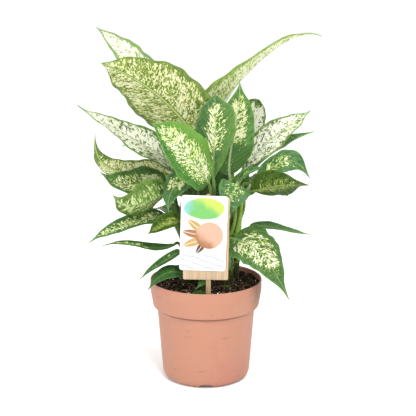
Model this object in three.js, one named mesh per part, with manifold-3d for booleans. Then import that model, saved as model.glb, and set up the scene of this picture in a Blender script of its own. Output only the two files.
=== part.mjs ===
// A potted dieffenbachia: a collared nursery pot, its soil, five canes, their leaves and a plant label.
// Millimetres, +Z up, +X to the right of the front, +Y away from the front; the pot stands on z = 0.
import * as THREE from "three";
import { mergeVertices } from "three/addons/utils/BufferGeometryUtils.js";
import Module from "manifold-3d";

const wasm = await Module();
wasm.setup();

// Pot
const RIM_RADIUS = 60;
const POT_HEIGHT = 109;
const WALL = 1.4;
const COLLAR_LOW_RADIUS = 57.4;
const COLLAR_LOW_Z = 82;
const BODY_TOP_RADIUS = 52.4;
const BODY_TOP_Z = 77;
const BODY_LOW_RADIUS = 47.3;
const BODY_LOW_Z = 9;
const BASE_RADIUS = 38.5;
const BASE_PLATE = 2.4;
const POT_SEGMENTS = 40;
const DRAIN_COUNT = 6;
const DRAIN_RADIUS = 3.2;
const DRAIN_RING_RADIUS = 25;
const NOTCH_TOP_WIDTH = 9;
const NOTCH_LOW_WIDTH = 22;
const NOTCH_HEIGHT = 4.2;
const NOTCH_INNER_RADIUS = 31;

// Soil
const GAP = 0.3;
const SOIL_Z = 103;
const SOIL_RELIEF = 1.6;
const SOIL_RINGS = 9;
const CANE_HOLE_Z = 62;
const STICK_HOLE_Z = 66;

// Canes: foot and top of each axis, radius at the soil and at the top
const CANES = {
  left: { foot: [-20, 0], top: [-21, 2, 176], radius: 6.5, topRadius: 4.6 },
  right: { foot: [22, -6], top: [27, -4, 176], radius: 6.5, topRadius: 4.6 },
  back: { foot: [-2, 27], top: [-4, 26, 190], radius: 7, topRadius: 5 },
  front: { foot: [1, -18], top: [3, -16, 168], radius: 6, topRadius: 4.2 },
  rear_right: { foot: [30, 20], top: [35, 21, 182], radius: 6, topRadius: 4.4 },
};
const CANE_SEGMENTS = 12;
const CANE_NODE_PITCH = 19;
const CANE_NODE_RISE = 0.7;
const CANE_FOOT_Z = CANE_HOLE_Z + GAP;

// Label: a flat stick in the soil, a bare board on it and a card in front
const STICK = { x: 2.4, y: -45, width: 5, thickness: 2, foot: STICK_HOLE_Z + GAP, top: 211 };
const BOARD = { x: 0.2, z: 164.5, width: 46.5, height: 87, thickness: 1.2, corner: 1.5, turn: -1 };
const CARD = { x: -2.5, z: 170.5, width: 47.5, height: 79, thickness: 0.8, corner: 3, turn: -2 };

// Leaves
const BLADE_THICKNESS = 0.8;
const RIB_DEPTH = 1.1;
const PETIOLE_RADIUS = 2.1;
const PETIOLE_END_RADIUS = 1.6;
const TIP_HALF_WIDTH = 0.7;
const BASE_RISE = 0.62;
const TIP_FALL = 1.05;
const COLUMNS = [-1, -0.55, -0.08, 0.08, 0.55, 1];
const PETIOLE_STEPS = [0, 0.27, 0.52, 0.78];
const BLADE_STEPS = [0, 0.06, 0.17, 0.32, 0.48, 0.64, 0.79, 0.92, 1];
const MIDDLE_STEP = 4;
const PETIOLE_ANGLES = [8, 42, 76, 104, 138, 172];

// One leaf a row: its cane and the height it leaves it at, four points along the midrib from the base of
// the blade to its tip, the way the upper face looks at mid-blade, the half width, how the width rises and
// falls along it, the fold and the curl of each half in degrees, the height of the waves along its margin,
// and the twist from base to tip in degrees.
const LEAVES = [
  {
    name: "leaf_01", cane: "back", node: 172,
    rib: [[-37, 38, 301], [-65, 55, 326], [-93, 70, 350], [-121, 84, 371]],
    face: [-0.3, -0.8, 0.5], half: 15, fold: 10, curl: 8, wave: 2,
  },
  {
    name: "leaf_02", cane: "back", node: 158,
    rib: [[-8, 15, 254], [-39, -3, 297], [-72, -20, 325], [-105, -32, 342]],
    face: [0.28, 0.93, 0.35], half: 40.5, rise: 0.44, fall: 0.9, fold: 6, curl: 8, wave: 1.2,
  },
  {
    name: "leaf_03", cane: "front", node: 158,
    rib: [[3, -24, 217], [-12, -41, 242], [-31, -53, 266], [-53, -62, 286]],
    face: [0.2, -0.75, 0.6], half: 27, fall: 0.85, fold: 10, curl: -6, wave: 1.5,
  },
  {
    name: "leaf_04", cane: "front", node: 164,
    rib: [[8, -9, 217], [8, -13, 248], [10, -11, 280], [9, -6, 307]],
    face: [0.1, -0.9, 0.3], half: 21, rise: 1.2, fall: 0.7, fold: 10, curl: 6, wave: 1.5,
  },
  {
    name: "leaf_05", cane: "rear_right", node: 150,
    rib: [[25, 2, 220], [26, 1, 248], [32, 4, 283], [35, 6, 320]],
    face: [0.3, -0.9, 0.1], half: 23, rise: 0.8, fold: 10, curl: 6, wave: 1,
  },
  {
    name: "leaf_06", cane: "right", node: 164,
    rib: [[30, 0, 204], [35, -2, 213], [39, -3, 222], [41, -3, 230]],
    face: [0.3, -0.9, 0.2], half: 10, fold: 10, curl: 5, wave: 0.5,
  },
  {
    name: "leaf_07", cane: "back", node: 176,
    rib: [[-2, 30, 275], [33, 35, 314], [79, 46, 354], [124, 56, 363]],
    face: [-0.45, 0.27, 0.8], half: 30, rise: 0.3, fall: 1.2, fold: 12, curl: 8, wave: 1.5, twist: 55,
  },
  {
    name: "leaf_08", cane: "rear_right", node: 166,
    rib: [[32, 31, 230], [43, 37, 252], [50, 41, 275], [53, 43, 297]],
    face: [-0.2, -0.9, 0.3], half: 15, fall: 0.35, fold: 8, curl: 6, wave: 1,
  },
  {
    name: "leaf_09", cane: "rear_right", node: 170,
    rib: [[41, 17, 224], [63, 22, 250], [87, 26, 269], [112, 30, 286]],
    face: [-0.3, -0.7, 0.6], half: 18, rise: 0.8, fall: 1.15, fold: 10, curl: 8, wave: 1,
  },
  {
    name: "leaf_10", cane: "rear_right", node: 164,
    rib: [[43, 27, 215], [68, 31, 237], [93, 32, 253], [116, 32, 263]],
    face: [-0.2, -0.1, 0.95], half: 15, rise: 0.8, fold: 12, curl: 6, wave: 1,
  },
  {
    name: "leaf_11", cane: "right", node: 150,
    rib: [[42, -6, 214], [62, -9, 226], [84, -11, 239], [108, -15, 221]],
    face: [-0.1, -0.42, 0.9], half: 18, rise: 1.4, fall: 0.95, fold: 6, curl: -8, wave: 1,
  },
  {
    name: "leaf_12", cane: "right", node: 134,
    rib: [[45, -15, 208], [61, -24, 213], [78, -32, 218], [105, -40, 219]],
    face: [-0.1, 0.75, 0.65], half: 26, rise: 1.2, fall: 1.05, fold: 8, curl: -5, wave: 1,
  },
  {
    name: "leaf_13", cane: "front", node: 152,
    rib: [[32, -25, 217], [27, -36, 208], [24, -42, 197], [25, -43, 186]],
    face: [0.15, -0.8, 0.55], half: 17, rise: 0.2, fall: 1.15, fold: 8, curl: -8, wave: 0.5,
  },
  {
    name: "leaf_14", cane: "front", node: 146,
    rib: [[-10, -21, 217], [-23, -32, 223], [-35, -39, 212], [-38, -41, 191]],
    face: [-0.35, -0.75, 0.55], half: 14, fold: 8, curl: -6, wave: 0.5,
  },
  {
    name: "leaf_15", cane: "left", node: 168,
    rib: [[-26, -4, 228], [-60, -16, 254], [-95, -28, 277], [-129, -40, 301]],
    face: [0.2, -0.6, 0.75], half: 20, fall: 1.4, fold: 10, curl: 6, wave: 1.5,
  },
  {
    name: "leaf_16", cane: "left", node: 160,
    rib: [[-26, 12, 214], [-61, 14, 220], [-101, 10, 227], [-116, 4, 265]],
    face: [-0.1, 0.75, 0.65], half: 19, fold: 10, curl: 6, wave: 1,
  },
  {
    name: "leaf_17", cane: "left", node: 158,
    rib: [[-40, -3, 212], [-60, -8, 213], [-85, -14, 215], [-110, -18, 229]],
    face: [-0.05, -0.6, 0.8], half: 22.5, fold: 8, curl: 5, wave: 1,
  },
  {
    name: "leaf_18", cane: "left", node: 144,
    rib: [[-40, -24, 208], [-57, -36, 203], [-76, -46, 200], [-94, -53, 212]],
    face: [0.2, 0.8, 0.5], half: 26, fold: 10, curl: 8, wave: 1,
  },
  {
    name: "leaf_19", cane: "left", node: 146,
    rib: [[-42, 3, 178], [-63, -12, 177], [-93, -28, 171], [-121, -44, 159]],
    face: [-0.2, -0.55, 0.8], half: 12, fold: 10, curl: 6, wave: 1,
  },
  {
    name: "leaf_20", cane: "front", node: 136,
    rib: [[-26, -31, 177], [-37, -35, 179], [-49, -38, 174], [-60, -40, 168]],
    face: [-0.1, -0.85, 0.5], half: 12, fold: 25, curl: 35, wave: 0,
  },
  {
    name: "leaf_21", cane: "left", node: 122,
    rib: [[-32, -22, 153], [-54, -26, 149], [-80, -28, 154], [-108, -28, 152]],
    face: [0, -0.3, 0.95], half: 7, fold: 14, curl: 6, wave: 0.5,
  },
  {
    name: "leaf_22", cane: "front", node: 122,
    rib: [[-25, -34, 149], [-40, -38, 140], [-55, -40, 131], [-69, -40, 119]],
    face: [-0.2, -0.4, 0.9], half: 7, rise: 0.4, fold: 14, curl: 6, wave: 0,
  },
  {
    name: "leaf_23", cane: "front", node: 112,
    rib: [[-21, -30, 122], [-36, -34, 125], [-49, -36, 120], [-61, -37, 106]],
    face: [-0.3, -0.6, 0.7], half: 9, fold: 10, curl: 5, wave: 0,
  },
  {
    name: "leaf_24", cane: "right", node: 120,
    rib: [[27, -21, 158], [48, -32, 153], [65, -42, 137], [87, -50, 98]],
    face: [0.3, -0.7, 0.65], half: 27, rise: 0.42, fold: 6, curl: -6, wave: 1.5,
  },
  {
    name: "leaf_25", cane: "rear_right", node: 134,
    rib: [[46, 10, 162], [63, 8, 164], [87, 6, 160], [112, 4, 156]],
    face: [0, -0.2, 0.97], half: 9, fold: 12, curl: 5, wave: 0.5,
  },
  {
    name: "leaf_26", cane: "right", node: 160,
    rib: [[33, -14, 216], [41, -19, 226], [50, -22, 231], [58, -25, 236]],
    face: [-0.3, -0.35, 0.9], half: 7, fold: 14, curl: 5, wave: 0,
  },
  {
    name: "leaf_27", cane: "front", node: 112,
    rib: [[2, -32, 118], [0, -36, 120], [-4, -40, 116], [-10, -43, 110]],
    face: [-0.2, -0.7, 0.7], half: 6, fold: 8, curl: 5, wave: 0,
  },
  {
    name: "leaf_28", cane: "left", node: 150,
    rib: [[-28, 54, 220], [-51, 74, 235], [-75, 92, 240], [-97, 110, 233]],
    face: [-0.3, 0.3, 0.9], half: 25, fold: 10, curl: 6, wave: 1.5,
  },
  {
    name: "leaf_29", cane: "back", node: 172,
    rib: [[0, 45, 185], [2, 57, 208], [6, 72, 229], [10, 88, 244]],
    face: [0, -0.8, 0.6], half: 26, rise: 0.4, fold: 10, curl: 6, wave: 1.5,
  },
  {
    name: "leaf_30", cane: "back", node: 140,
    rib: [[8, 54, 174], [12, 78, 185], [16, 100, 180], [18, 118, 160]],
    face: [0, 0.4, 0.9], half: 23, fold: 8, curl: 5, wave: 1.5,
  },
  {
    name: "leaf_31", cane: "rear_right", node: 146,
    rib: [[40, 42, 188], [58, 60, 201], [77, 76, 201], [92, 90, 186]],
    face: [0.3, 0.3, 0.9], half: 22, fold: 8, curl: 5, wave: 1.5,
  },
  {
    name: "leaf_32", cane: "back", node: 122,
    rib: [[-26, 42, 163], [-44, 58, 171], [-59, 72, 168], [-73, 84, 156]],
    face: [-0.3, 0.3, 0.9], half: 17, fold: 8, curl: 5, wave: 1,
  },
  {
    name: "leaf_33", cane: "rear_right", node: 160,
    rib: [[41, 53, 218], [55, 73, 236], [69, 92, 242], [81, 110, 237]],
    face: [0.2, 0.1, 0.95], half: 24, fold: 8, curl: 6, wave: 1.5,
  },
  {
    name: "leaf_34", cane: "back", node: 132,
    rib: [[-22, 56, 184], [-38, 80, 193], [-51, 102, 187], [-63, 120, 168]],
    face: [-0.1, 0.3, 0.95], half: 20, fold: 8, curl: 5, wave: 1.5,
  },
];

const COLOURS = {
  pot: 0xd9956f,
  soil: 0x3b2c22,
  cane: 0x6f8f4a,
  leaf: 0x4f8a3c,
  stick: 0xd2b48c,
  board: 0xc9a77c,
  card: 0xf1f0ea,
};

const radians = THREE.MathUtils.degToRad;

/** A repeatable number from 0 to 1 for a pair of whole numbers. */
function scatter(i, j) {
  const value = Math.sin(i * 127.1 + j * 311.7) * 43758.5453;
  return value - Math.floor(value);
}

/** The solid that a closed three.js geometry bounds. */
function solidOf(geometry) {
  const bare = geometry.clone();
  bare.deleteAttribute("normal");
  bare.deleteAttribute("uv");
  const merged = mergeVertices(bare, 1e-4);
  return new wasm.Manifold(
    new wasm.Mesh({
      numProp: 3,
      vertProperties: new Float32Array(merged.getAttribute("position").array),
      triVerts: new Uint32Array(merged.index.array),
    }),
  );
}

/** The three.js geometry of a solid. */
function geometryOf(solid) {
  const mesh = solid.getMesh();
  const indexed = new THREE.BufferGeometry();
  indexed.setAttribute("position", new THREE.BufferAttribute(mesh.vertProperties, 3));
  indexed.setIndex(new THREE.BufferAttribute(mesh.triVerts, 1));
  const flat = indexed.toNonIndexed();
  flat.computeVertexNormals();
  return flat;
}

/** A closed geometry from a list of points and a list of triangles. */
function bodyOf(points, triangles) {
  const geometry = new THREE.BufferGeometry();
  geometry.setAttribute("position", new THREE.Float32BufferAttribute(points.flat(), 3));
  geometry.setIndex(triangles.flat());
  return geometry;
}

/** A body of revolution from [radius, z] pairs that run from the axis, outside, back to the axis. */
function turned(profile, segments) {
  const points = [];
  const triangles = [];
  const rows = profile.map(([radius, z]) => {
    const start = points.length;
    if (radius === 0) {
      points.push([0, 0, z]);
      return { start, count: 1 };
    }
    for (let k = 0; k < segments; k += 1) {
      const angle = (2 * Math.PI * k) / segments;
      points.push([radius * Math.cos(angle), radius * Math.sin(angle), z]);
    }
    return { start, count: segments };
  });
  for (let row = 0; row + 1 < rows.length; row += 1) {
    const a = rows[row];
    const b = rows[row + 1];
    for (let k = 0; k < segments; k += 1) {
      const next = (k + 1) % segments;
      if (a.count > 1) {
        triangles.push([a.start + k, a.start + next, b.start + (b.count > 1 ? next : 0)]);
      }
      if (b.count > 1) {
        triangles.push([a.start + (a.count > 1 ? k : 0), b.start + next, b.start + k]);
      }
    }
  }
  return bodyOf(points, triangles);
}

/** An upright prism of an [x, y] outline, counter-clockwise, from one height to another. */
function prism(outline, low, high) {
  const shape = new THREE.Shape(outline.map(([x, y]) => new THREE.Vector2(x, y)));
  const geometry = new THREE.ExtrudeGeometry(shape, { depth: high - low, bevelEnabled: false });
  return geometry.translate(0, 0, low);
}

/** The corner-rounded outline of a flat panel centred on the origin. */
function panelOutline(width, height, corner) {
  const outline = [];
  const centres = [
    [width / 2 - corner, height / 2 - corner],
    [-width / 2 + corner, height / 2 - corner],
    [-width / 2 + corner, -height / 2 + corner],
    [width / 2 - corner, -height / 2 + corner],
  ];
  centres.forEach(([x, y], quarter) => {
    for (let k = 0; k <= 4; k += 1) {
      const angle = radians(90 * quarter + 22.5 * k);
      outline.push([x + corner * Math.cos(angle), y + corner * Math.sin(angle)]);
    }
  });
  return outline;
}

/** A thin panel that stands upright and faces the front. */
function panel({ x, z, width, height, thickness, corner, turn }, frontY) {
  const geometry = prism(panelOutline(width, height, corner), 0, thickness);
  geometry.rotateX(Math.PI / 2);
  geometry.rotateY(radians(-turn));
  return geometry.translate(x, frontY + thickness, z);
}

/** The point and radius of a cane's axis at a height. */
function caneAt(cane, z) {
  const { foot, top, radius, topRadius } = cane;
  const share = (z - SOIL_Z) / (top[2] - SOIL_Z);
  return {
    x: foot[0] + (top[0] - foot[0]) * share,
    y: foot[1] + (top[1] - foot[1]) * share,
    radius: radius + (topRadius - radius) * Math.max(share, 0),
  };
}

/** A ringed cane with a blunt tip, swollen all round by a clearance. */
function caneGeometry(cane, clearance) {
  const points = [];
  const triangles = [];
  const rings = [];
  const pushRing = (z, radius) => rings.push({ ...caneAt(cane, z), z, radius });
  pushRing(CANE_FOOT_Z - clearance, caneAt(cane, CANE_FOOT_Z).radius + clearance);
  pushRing(SOIL_Z + 3, caneAt(cane, SOIL_Z + 3).radius + clearance);
  for (let z = SOIL_Z + CANE_NODE_PITCH; z < cane.top[2] - 8; z += CANE_NODE_PITCH) {
    pushRing(z - 1.2, caneAt(cane, z).radius + clearance);
    pushRing(z, caneAt(cane, z).radius + CANE_NODE_RISE + clearance);
    pushRing(z + 1.2, caneAt(cane, z).radius + clearance);
  }
  pushRing(cane.top[2] - 3, caneAt(cane, cane.top[2]).radius + clearance);
  pushRing(cane.top[2] + clearance, caneAt(cane, cane.top[2]).radius * 0.55 + clearance);
  rings.forEach(({ x, y, z, radius }) => {
    for (let k = 0; k < CANE_SEGMENTS; k += 1) {
      const angle = (2 * Math.PI * k) / CANE_SEGMENTS;
      points.push([x + radius * Math.cos(angle), y + radius * Math.sin(angle), z]);
    }
  });
  for (let row = 0; row + 1 < rings.length; row += 1) {
    for (let k = 0; k < CANE_SEGMENTS; k += 1) {
      const a = row * CANE_SEGMENTS + k;
      const b = row * CANE_SEGMENTS + ((k + 1) % CANE_SEGMENTS);
      triangles.push([a, b, b + CANE_SEGMENTS], [a, b + CANE_SEGMENTS, a + CANE_SEGMENTS]);
    }
  }
  const last = (rings.length - 1) * CANE_SEGMENTS;
  for (let k = 1; k + 1 < CANE_SEGMENTS; k += 1) {
    triangles.push([0, k + 1, k], [last, last + k, last + k + 1]);
  }
  return bodyOf(points, triangles);
}

/** A point or a tangent of the cubic Bezier curve of four control points. */
function bezier(controls, t) {
  const u = 1 - t;
  const [a, b, c, d] = controls;
  const point = new THREE.Vector3()
    .addScaledVector(a, u * u * u)
    .addScaledVector(b, 3 * u * u * t)
    .addScaledVector(c, 3 * u * t * t)
    .addScaledVector(d, t * t * t);
  const tangent = new THREE.Vector3()
    .addScaledVector(a, -u * u)
    .addScaledVector(b, u * u - 2 * u * t)
    .addScaledVector(c, 2 * u * t - t * t)
    .addScaledVector(d, t * t)
    .normalize();
  return { point, tangent };
}

/** The control points of the cubic that passes through four points at even parameters. */
function controlsThrough(rib) {
  const [p0, q1, q2, p3] = rib.map((p) => new THREE.Vector3(...p));
  const p1 = new THREE.Vector3()
    .addScaledVector(p0, -5 / 6)
    .addScaledVector(q1, 3)
    .addScaledVector(q2, -1.5)
    .addScaledVector(p3, 1 / 3);
  const p2 = new THREE.Vector3()
    .addScaledVector(p0, 1 / 3)
    .addScaledVector(q1, -1.5)
    .addScaledVector(q2, 3)
    .addScaledVector(p3, -5 / 6);
  return [p0, p1, p2, p3];
}

/** The control points of the stalk from the cane's axis to the base of the blade. */
function petioleControls(leaf, blade) {
  const start = caneAt(CANES[leaf.cane], leaf.node);
  const from = new THREE.Vector3(start.x, start.y, leaf.node);
  const base = blade[0];
  const reach = from.distanceTo(base);
  const outward = new THREE.Vector3(base.x - from.x, base.y - from.y, 0).normalize();
  const rise = new THREE.Vector3(outward.x * 0.6, outward.y * 0.6, 0.8);
  const ahead = new THREE.Vector3().subVectors(blade[1], blade[0]).normalize();
  return [
    from,
    from.clone().addScaledVector(rise, reach * 0.4),
    base.clone().addScaledVector(ahead, -reach * 0.2),
    base.clone(),
  ];
}

/** The share of the greatest half width at a share s of the blade's length. */
function widthShare(leaf, s) {
  const rise = leaf.rise ?? BASE_RISE;
  const fall = leaf.fall ?? TIP_FALL;
  const widest = rise / (rise + fall);
  const peak = widest ** rise * (1 - widest) ** fall;
  return (s ** rise * (1 - s) ** fall) / peak;
}

/** The frames along the stalk and the blade: the upper side is carried from mid-blade and then twisted. */
function leafFrames(leaf) {
  const blade = controlsThrough(leaf.rib);
  const petiole = petioleControls(leaf, blade);
  const frames = [
    ...PETIOLE_STEPS.map((t) => ({ ...bezier(petiole, t), t, s: -1 })),
    ...BLADE_STEPS.map((s) => ({ ...bezier(blade, s), t: 1, s })),
  ];
  const middle = PETIOLE_STEPS.length + MIDDLE_STEP;
  const settle = (frame, normal) => {
    frame.normal = normal.clone().addScaledVector(frame.tangent, -normal.dot(frame.tangent)).normalize();
    frame.side = new THREE.Vector3().crossVectors(frame.tangent, frame.normal);
  };
  settle(frames[middle], new THREE.Vector3(...leaf.face));
  for (let k = middle + 1; k < frames.length; k += 1) {
    settle(frames[k], frames[k - 1].normal);
  }
  for (let k = middle - 1; k >= 0; k -= 1) {
    settle(frames[k], frames[k + 1].normal);
  }
  frames.forEach((frame) => {
    const turn = radians((leaf.twist ?? 0) * (Math.max(frame.s, 0) - BLADE_STEPS[MIDDLE_STEP]));
    frame.normal.applyAxisAngle(frame.tangent, turn);
    frame.side.applyAxisAngle(frame.tangent, turn);
  });
  return frames;
}

/** The across and out offsets of a stalk's section at a column. */
function petioleSection(frame, column, sign) {
  const radius = THREE.MathUtils.lerp(PETIOLE_RADIUS, PETIOLE_END_RADIUS, frame.t);
  const angle = radians(PETIOLE_ANGLES[column]);
  return [-radius * Math.cos(angle), sign * radius * Math.sin(angle)];
}

/** The across and out offsets of a blade's section at a column, on its upper (1) or lower (-1) face. */
function bladeSection(leaf, frame, column, sign) {
  const v = COLUMNS[column];
  const half = Math.max(leaf.half * widthShare(leaf, frame.s), TIP_HALF_WIDTH);
  const share = Math.abs(v);
  const fold = radians(leaf.fold);
  const turn = radians(leaf.curl);
  const angle = fold + turn * share;
  const bend = Math.abs(turn) < 1e-4 ? 1e-4 : turn;
  const across = (half * (Math.sin(fold + bend * share) - Math.sin(fold))) / bend;
  const out = (half * (Math.cos(fold) - Math.cos(fold + bend * share))) / bend;
  const swing = 2 * Math.PI * (2.2 * frame.s + 0.37 * leaf.rib[0][2]) + (v < 0 ? 2.1 : 0);
  const ripple = leaf.wave * share * share * Math.sin(swing) * Math.min(1, half / 8);
  const onRib = share < 0.2 && sign < 0;
  const depth = BLADE_THICKNESS / 2 + (onRib ? RIB_DEPTH * (1 - frame.s) : 0);
  const normalAcross = -Math.sin(angle);
  const normalOut = Math.cos(angle);
  const lift = ripple + sign * depth;
  return [Math.sign(v) * (across + normalAcross * lift), out + normalOut * lift];
}

/** The closed body of a leaf, its stalk and blade in one. */
function leafGeometry(leaf) {
  const frames = leafFrames(leaf);
  const width = COLUMNS.length;
  const points = [];
  frames.forEach((frame) => {
    [1, -1].forEach((sign) => {
      for (let column = 0; column < width; column += 1) {
        const round = frame.s <= 0;
        const [across, out] = round
          ? petioleSection(frame, column, sign)
          : bladeSection(leaf, frame, column, sign);
        const point = frame.point.clone().addScaledVector(frame.side, across);
        points.push(point.addScaledVector(frame.normal, out).toArray());
      }
    });
  });
  const triangles = [];
  const ring = 2 * width;
  const quad = (a, b, c, d) => triangles.push([a, b, c], [a, c, d]);
  for (let row = 0; row + 1 < frames.length; row += 1) {
    const near = row * ring;
    const far = near + ring;
    for (let column = 0; column + 1 < width; column += 1) {
      quad(near + column, near + column + 1, far + column + 1, far + column);
      const low = near + width + column;
      const lowFar = far + width + column;
      triangles.push([low, lowFar + 1, low + 1], [low, lowFar, lowFar + 1]);
    }
    quad(near + width - 1, near + ring - 1, far + ring - 1, far + width - 1);
    quad(near + width, near, far, far + width);
  }
  const last = (frames.length - 1) * ring;
  for (let column = 0; column + 1 < width; column += 1) {
    quad(column, column + width, column + width + 1, column + 1);
    quad(last + column, last + column + 1, last + column + width + 1, last + column + width);
  }
  return bodyOf(points, triangles);
}

/** The pot: collar, tapered body, rounded bottom edge, drain holes and bottom notches. */
function potSolid() {
  const outside = [
    [0, 0],
    [BASE_RADIUS, 0],
    [42.6, 0.8],
    [45.4, 3],
    [46.9, 6],
    [BODY_LOW_RADIUS, BODY_LOW_Z],
    [BODY_TOP_RADIUS, BODY_TOP_Z - 2],
    [BODY_TOP_RADIUS + 0.4, BODY_TOP_Z],
    [COLLAR_LOW_RADIUS - 1.8, COLLAR_LOW_Z - 2.8],
    [COLLAR_LOW_RADIUS - 0.4, COLLAR_LOW_Z - 1.4],
    [COLLAR_LOW_RADIUS, COLLAR_LOW_Z],
    [RIM_RADIUS, POT_HEIGHT - 11],
    [RIM_RADIUS, POT_HEIGHT - 0.5],
    [RIM_RADIUS - 0.5, POT_HEIGHT],
  ];
  const inside = [
    [RIM_RADIUS - WALL + 0.4, POT_HEIGHT],
    [RIM_RADIUS - WALL, POT_HEIGHT - 0.4],
    [RIM_RADIUS - WALL, POT_HEIGHT - 11],
    [COLLAR_LOW_RADIUS - WALL, COLLAR_LOW_Z + 1],
    [BODY_TOP_RADIUS - WALL, BODY_TOP_Z],
    [BODY_LOW_RADIUS - WALL, BODY_LOW_Z],
    [BASE_RADIUS, BASE_PLATE],
    [0, BASE_PLATE],
  ];
  let pot = solidOf(turned([...outside, ...inside], POT_SEGMENTS));
  for (let k = 0; k < DRAIN_COUNT; k += 1) {
    const angle = (360 * k) / DRAIN_COUNT + 30;
    const drain = wasm.Manifold.cylinder(BASE_PLATE + 2, DRAIN_RADIUS, DRAIN_RADIUS, 16)
      .translate([DRAIN_RING_RADIUS, 0, -1])
      .rotate([0, 0, angle]);
    const notch = wasm.Manifold.extrude(
      [
        [
          [-NOTCH_LOW_WIDTH / 2, -1],
          [NOTCH_LOW_WIDTH / 2, -1],
          [NOTCH_TOP_WIDTH / 2, NOTCH_HEIGHT],
          [-NOTCH_TOP_WIDTH / 2, NOTCH_HEIGHT],
        ],
      ],
      20,
    )
      .rotate([90, 0, 0])
      .rotate([0, 0, 90])
      .translate([NOTCH_INNER_RADIUS, 0, 0])
      .rotate([0, 0, angle - 120]);
    pot = pot.subtract(drain).subtract(notch);
  }
  return pot;
}

/** The height of the soil's surface at a ring and a sector. */
function soilHeight(ring, sector) {
  const rough = scatter(ring, sector) - 0.5;
  return SOIL_Z + 2 * SOIL_RELIEF * rough;
}

/** The soil with its uneven top and the plain holes that the canes and the stick stand in. */
function soilSolid() {
  const points = [];
  const triangles = [];
  const radiusAt = (z) => {
    const share = (z - BODY_LOW_Z) / (BODY_TOP_Z - BODY_LOW_Z);
    return BODY_LOW_RADIUS - WALL - GAP + (BODY_TOP_RADIUS - BODY_LOW_RADIUS) * share;
  };
  const collarShare = (SOIL_Z - 4 - COLLAR_LOW_Z) / (POT_HEIGHT - 11 - COLLAR_LOW_Z);
  const topRadius = COLLAR_LOW_RADIUS - WALL - GAP + (RIM_RADIUS - COLLAR_LOW_RADIUS) * collarShare - 0.3;
  const wall = [
    [BASE_RADIUS - GAP, BASE_PLATE + GAP],
    [radiusAt(BODY_LOW_Z + 0.3), BODY_LOW_Z + 0.3],
    [radiusAt(BODY_TOP_Z), BODY_TOP_Z],
    [COLLAR_LOW_RADIUS - WALL - GAP - 0.2, COLLAR_LOW_Z + 1.2],
    [topRadius, SOIL_Z - 4],
  ];
  points.push([0, 0, BASE_PLATE + GAP]);
  const pushRing = (radius, height) => {
    for (let k = 0; k < POT_SEGMENTS; k += 1) {
      const angle = (2 * Math.PI * k) / POT_SEGMENTS;
      points.push([radius * Math.cos(angle), radius * Math.sin(angle), height(k)]);
    }
  };
  wall.forEach(([radius, z]) => pushRing(radius, () => z));
  for (let ring = 0; ring < SOIL_RINGS; ring += 1) {
    const radius = (topRadius - 0.4) * (1 - ring / SOIL_RINGS) ** 0.9;
    pushRing(radius, (k) => soilHeight(ring, k));
  }
  points.push([0, 0, SOIL_Z]);
  const rings = wall.length + SOIL_RINGS;
  for (let ring = 0; ring < rings; ring += 1) {
    for (let k = 0; k < POT_SEGMENTS; k += 1) {
      const next = (k + 1) % POT_SEGMENTS;
      const a = 1 + ring * POT_SEGMENTS + k;
      const b = 1 + ring * POT_SEGMENTS + next;
      if (ring === 0) {
        triangles.push([0, b, a]);
      }
      if (ring + 1 < rings) {
        triangles.push([a, b, b + POT_SEGMENTS], [a, b + POT_SEGMENTS, a + POT_SEGMENTS]);
      } else {
        triangles.push([a, b, points.length - 1]);
      }
    }
  }
  let soil = solidOf(bodyOf(points, triangles));
  Object.values(CANES).forEach((cane) => {
    soil = soil.subtract(solidOf(caneGeometry(cane, GAP)));
  });
  const hole = prism(
    [
      [STICK.x - STICK.width / 2 - GAP, STICK.y - STICK.thickness / 2 - GAP],
      [STICK.x + STICK.width / 2 + GAP, STICK.y - STICK.thickness / 2 - GAP],
      [STICK.x + STICK.width / 2 + GAP, STICK.y + STICK.thickness / 2 + GAP],
      [STICK.x - STICK.width / 2 - GAP, STICK.y + STICK.thickness / 2 + GAP],
    ],
    STICK_HOLE_Z,
    POT_HEIGHT,
  );
  return soil.subtract(solidOf(hole));
}

/** The stick, flat, with a blunt foot and a rounded top. */
function stickGeometry() {
  const { x, y, width, thickness, foot, top } = STICK;
  const half = width / 2;
  const outline = [
    [-half * 0.5, foot],
    [half * 0.5, foot],
    [half, foot + 8],
    [half, top - half],
    [half * 0.7, top - half * 0.3],
    [0, top],
    [-half * 0.7, top - half * 0.3],
    [-half, top - half],
    [-half, foot + 8],
  ];
  const geometry = prism(outline, 0, thickness);
  geometry.rotateX(Math.PI / 2);
  return geometry.translate(x, y + thickness / 2, 0);
}

const group = new THREE.Group();

/** Adds a named mesh to the group. */
function add(name, geometry, colour, roughness) {
  const mesh = new THREE.Mesh(geometry, new THREE.MeshStandardMaterial({ color: colour, roughness }));
  mesh.name = name;
  group.add(mesh);
}

add("pot", geometryOf(potSolid()), COLOURS.pot, 0.55);
add("soil", geometryOf(soilSolid()), COLOURS.soil, 0.95);

const stickFront = STICK.y - STICK.thickness / 2;
const boardFront = stickFront - GAP - BOARD.thickness;
const cardFront = boardFront - GAP - CARD.thickness;
add("label_stick", stickGeometry(), COLOURS.stick, 0.7);
add("label_board", panel(BOARD, boardFront), COLOURS.board, 0.75);
add("label_card", panel(CARD, cardFront), COLOURS.card, 0.5);

Object.entries(CANES).forEach(([name, cane]) => {
  add(`cane_${name}`, caneGeometry(cane, 0), COLOURS.cane, 0.6);
});

LEAVES.forEach((leaf) => {
  const cane = solidOf(caneGeometry(CANES[leaf.cane], GAP));
  const pieces = solidOf(leafGeometry(leaf)).subtract(cane).decompose();
  pieces.sort((a, b) => b.volume() - a.volume());
  add(leaf.name, geometryOf(pieces[0]), COLOURS.leaf, 0.45);
});

export default group;
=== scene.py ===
"""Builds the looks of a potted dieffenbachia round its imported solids: pot, soil, canes, leaves and label.

Sizes are in millimetres unless a docstring says otherwise, and meshes are in metres. +X is to the right of
the front, +Y away from the front, +Z up, and the pot stands on z = 0.
"""

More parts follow.
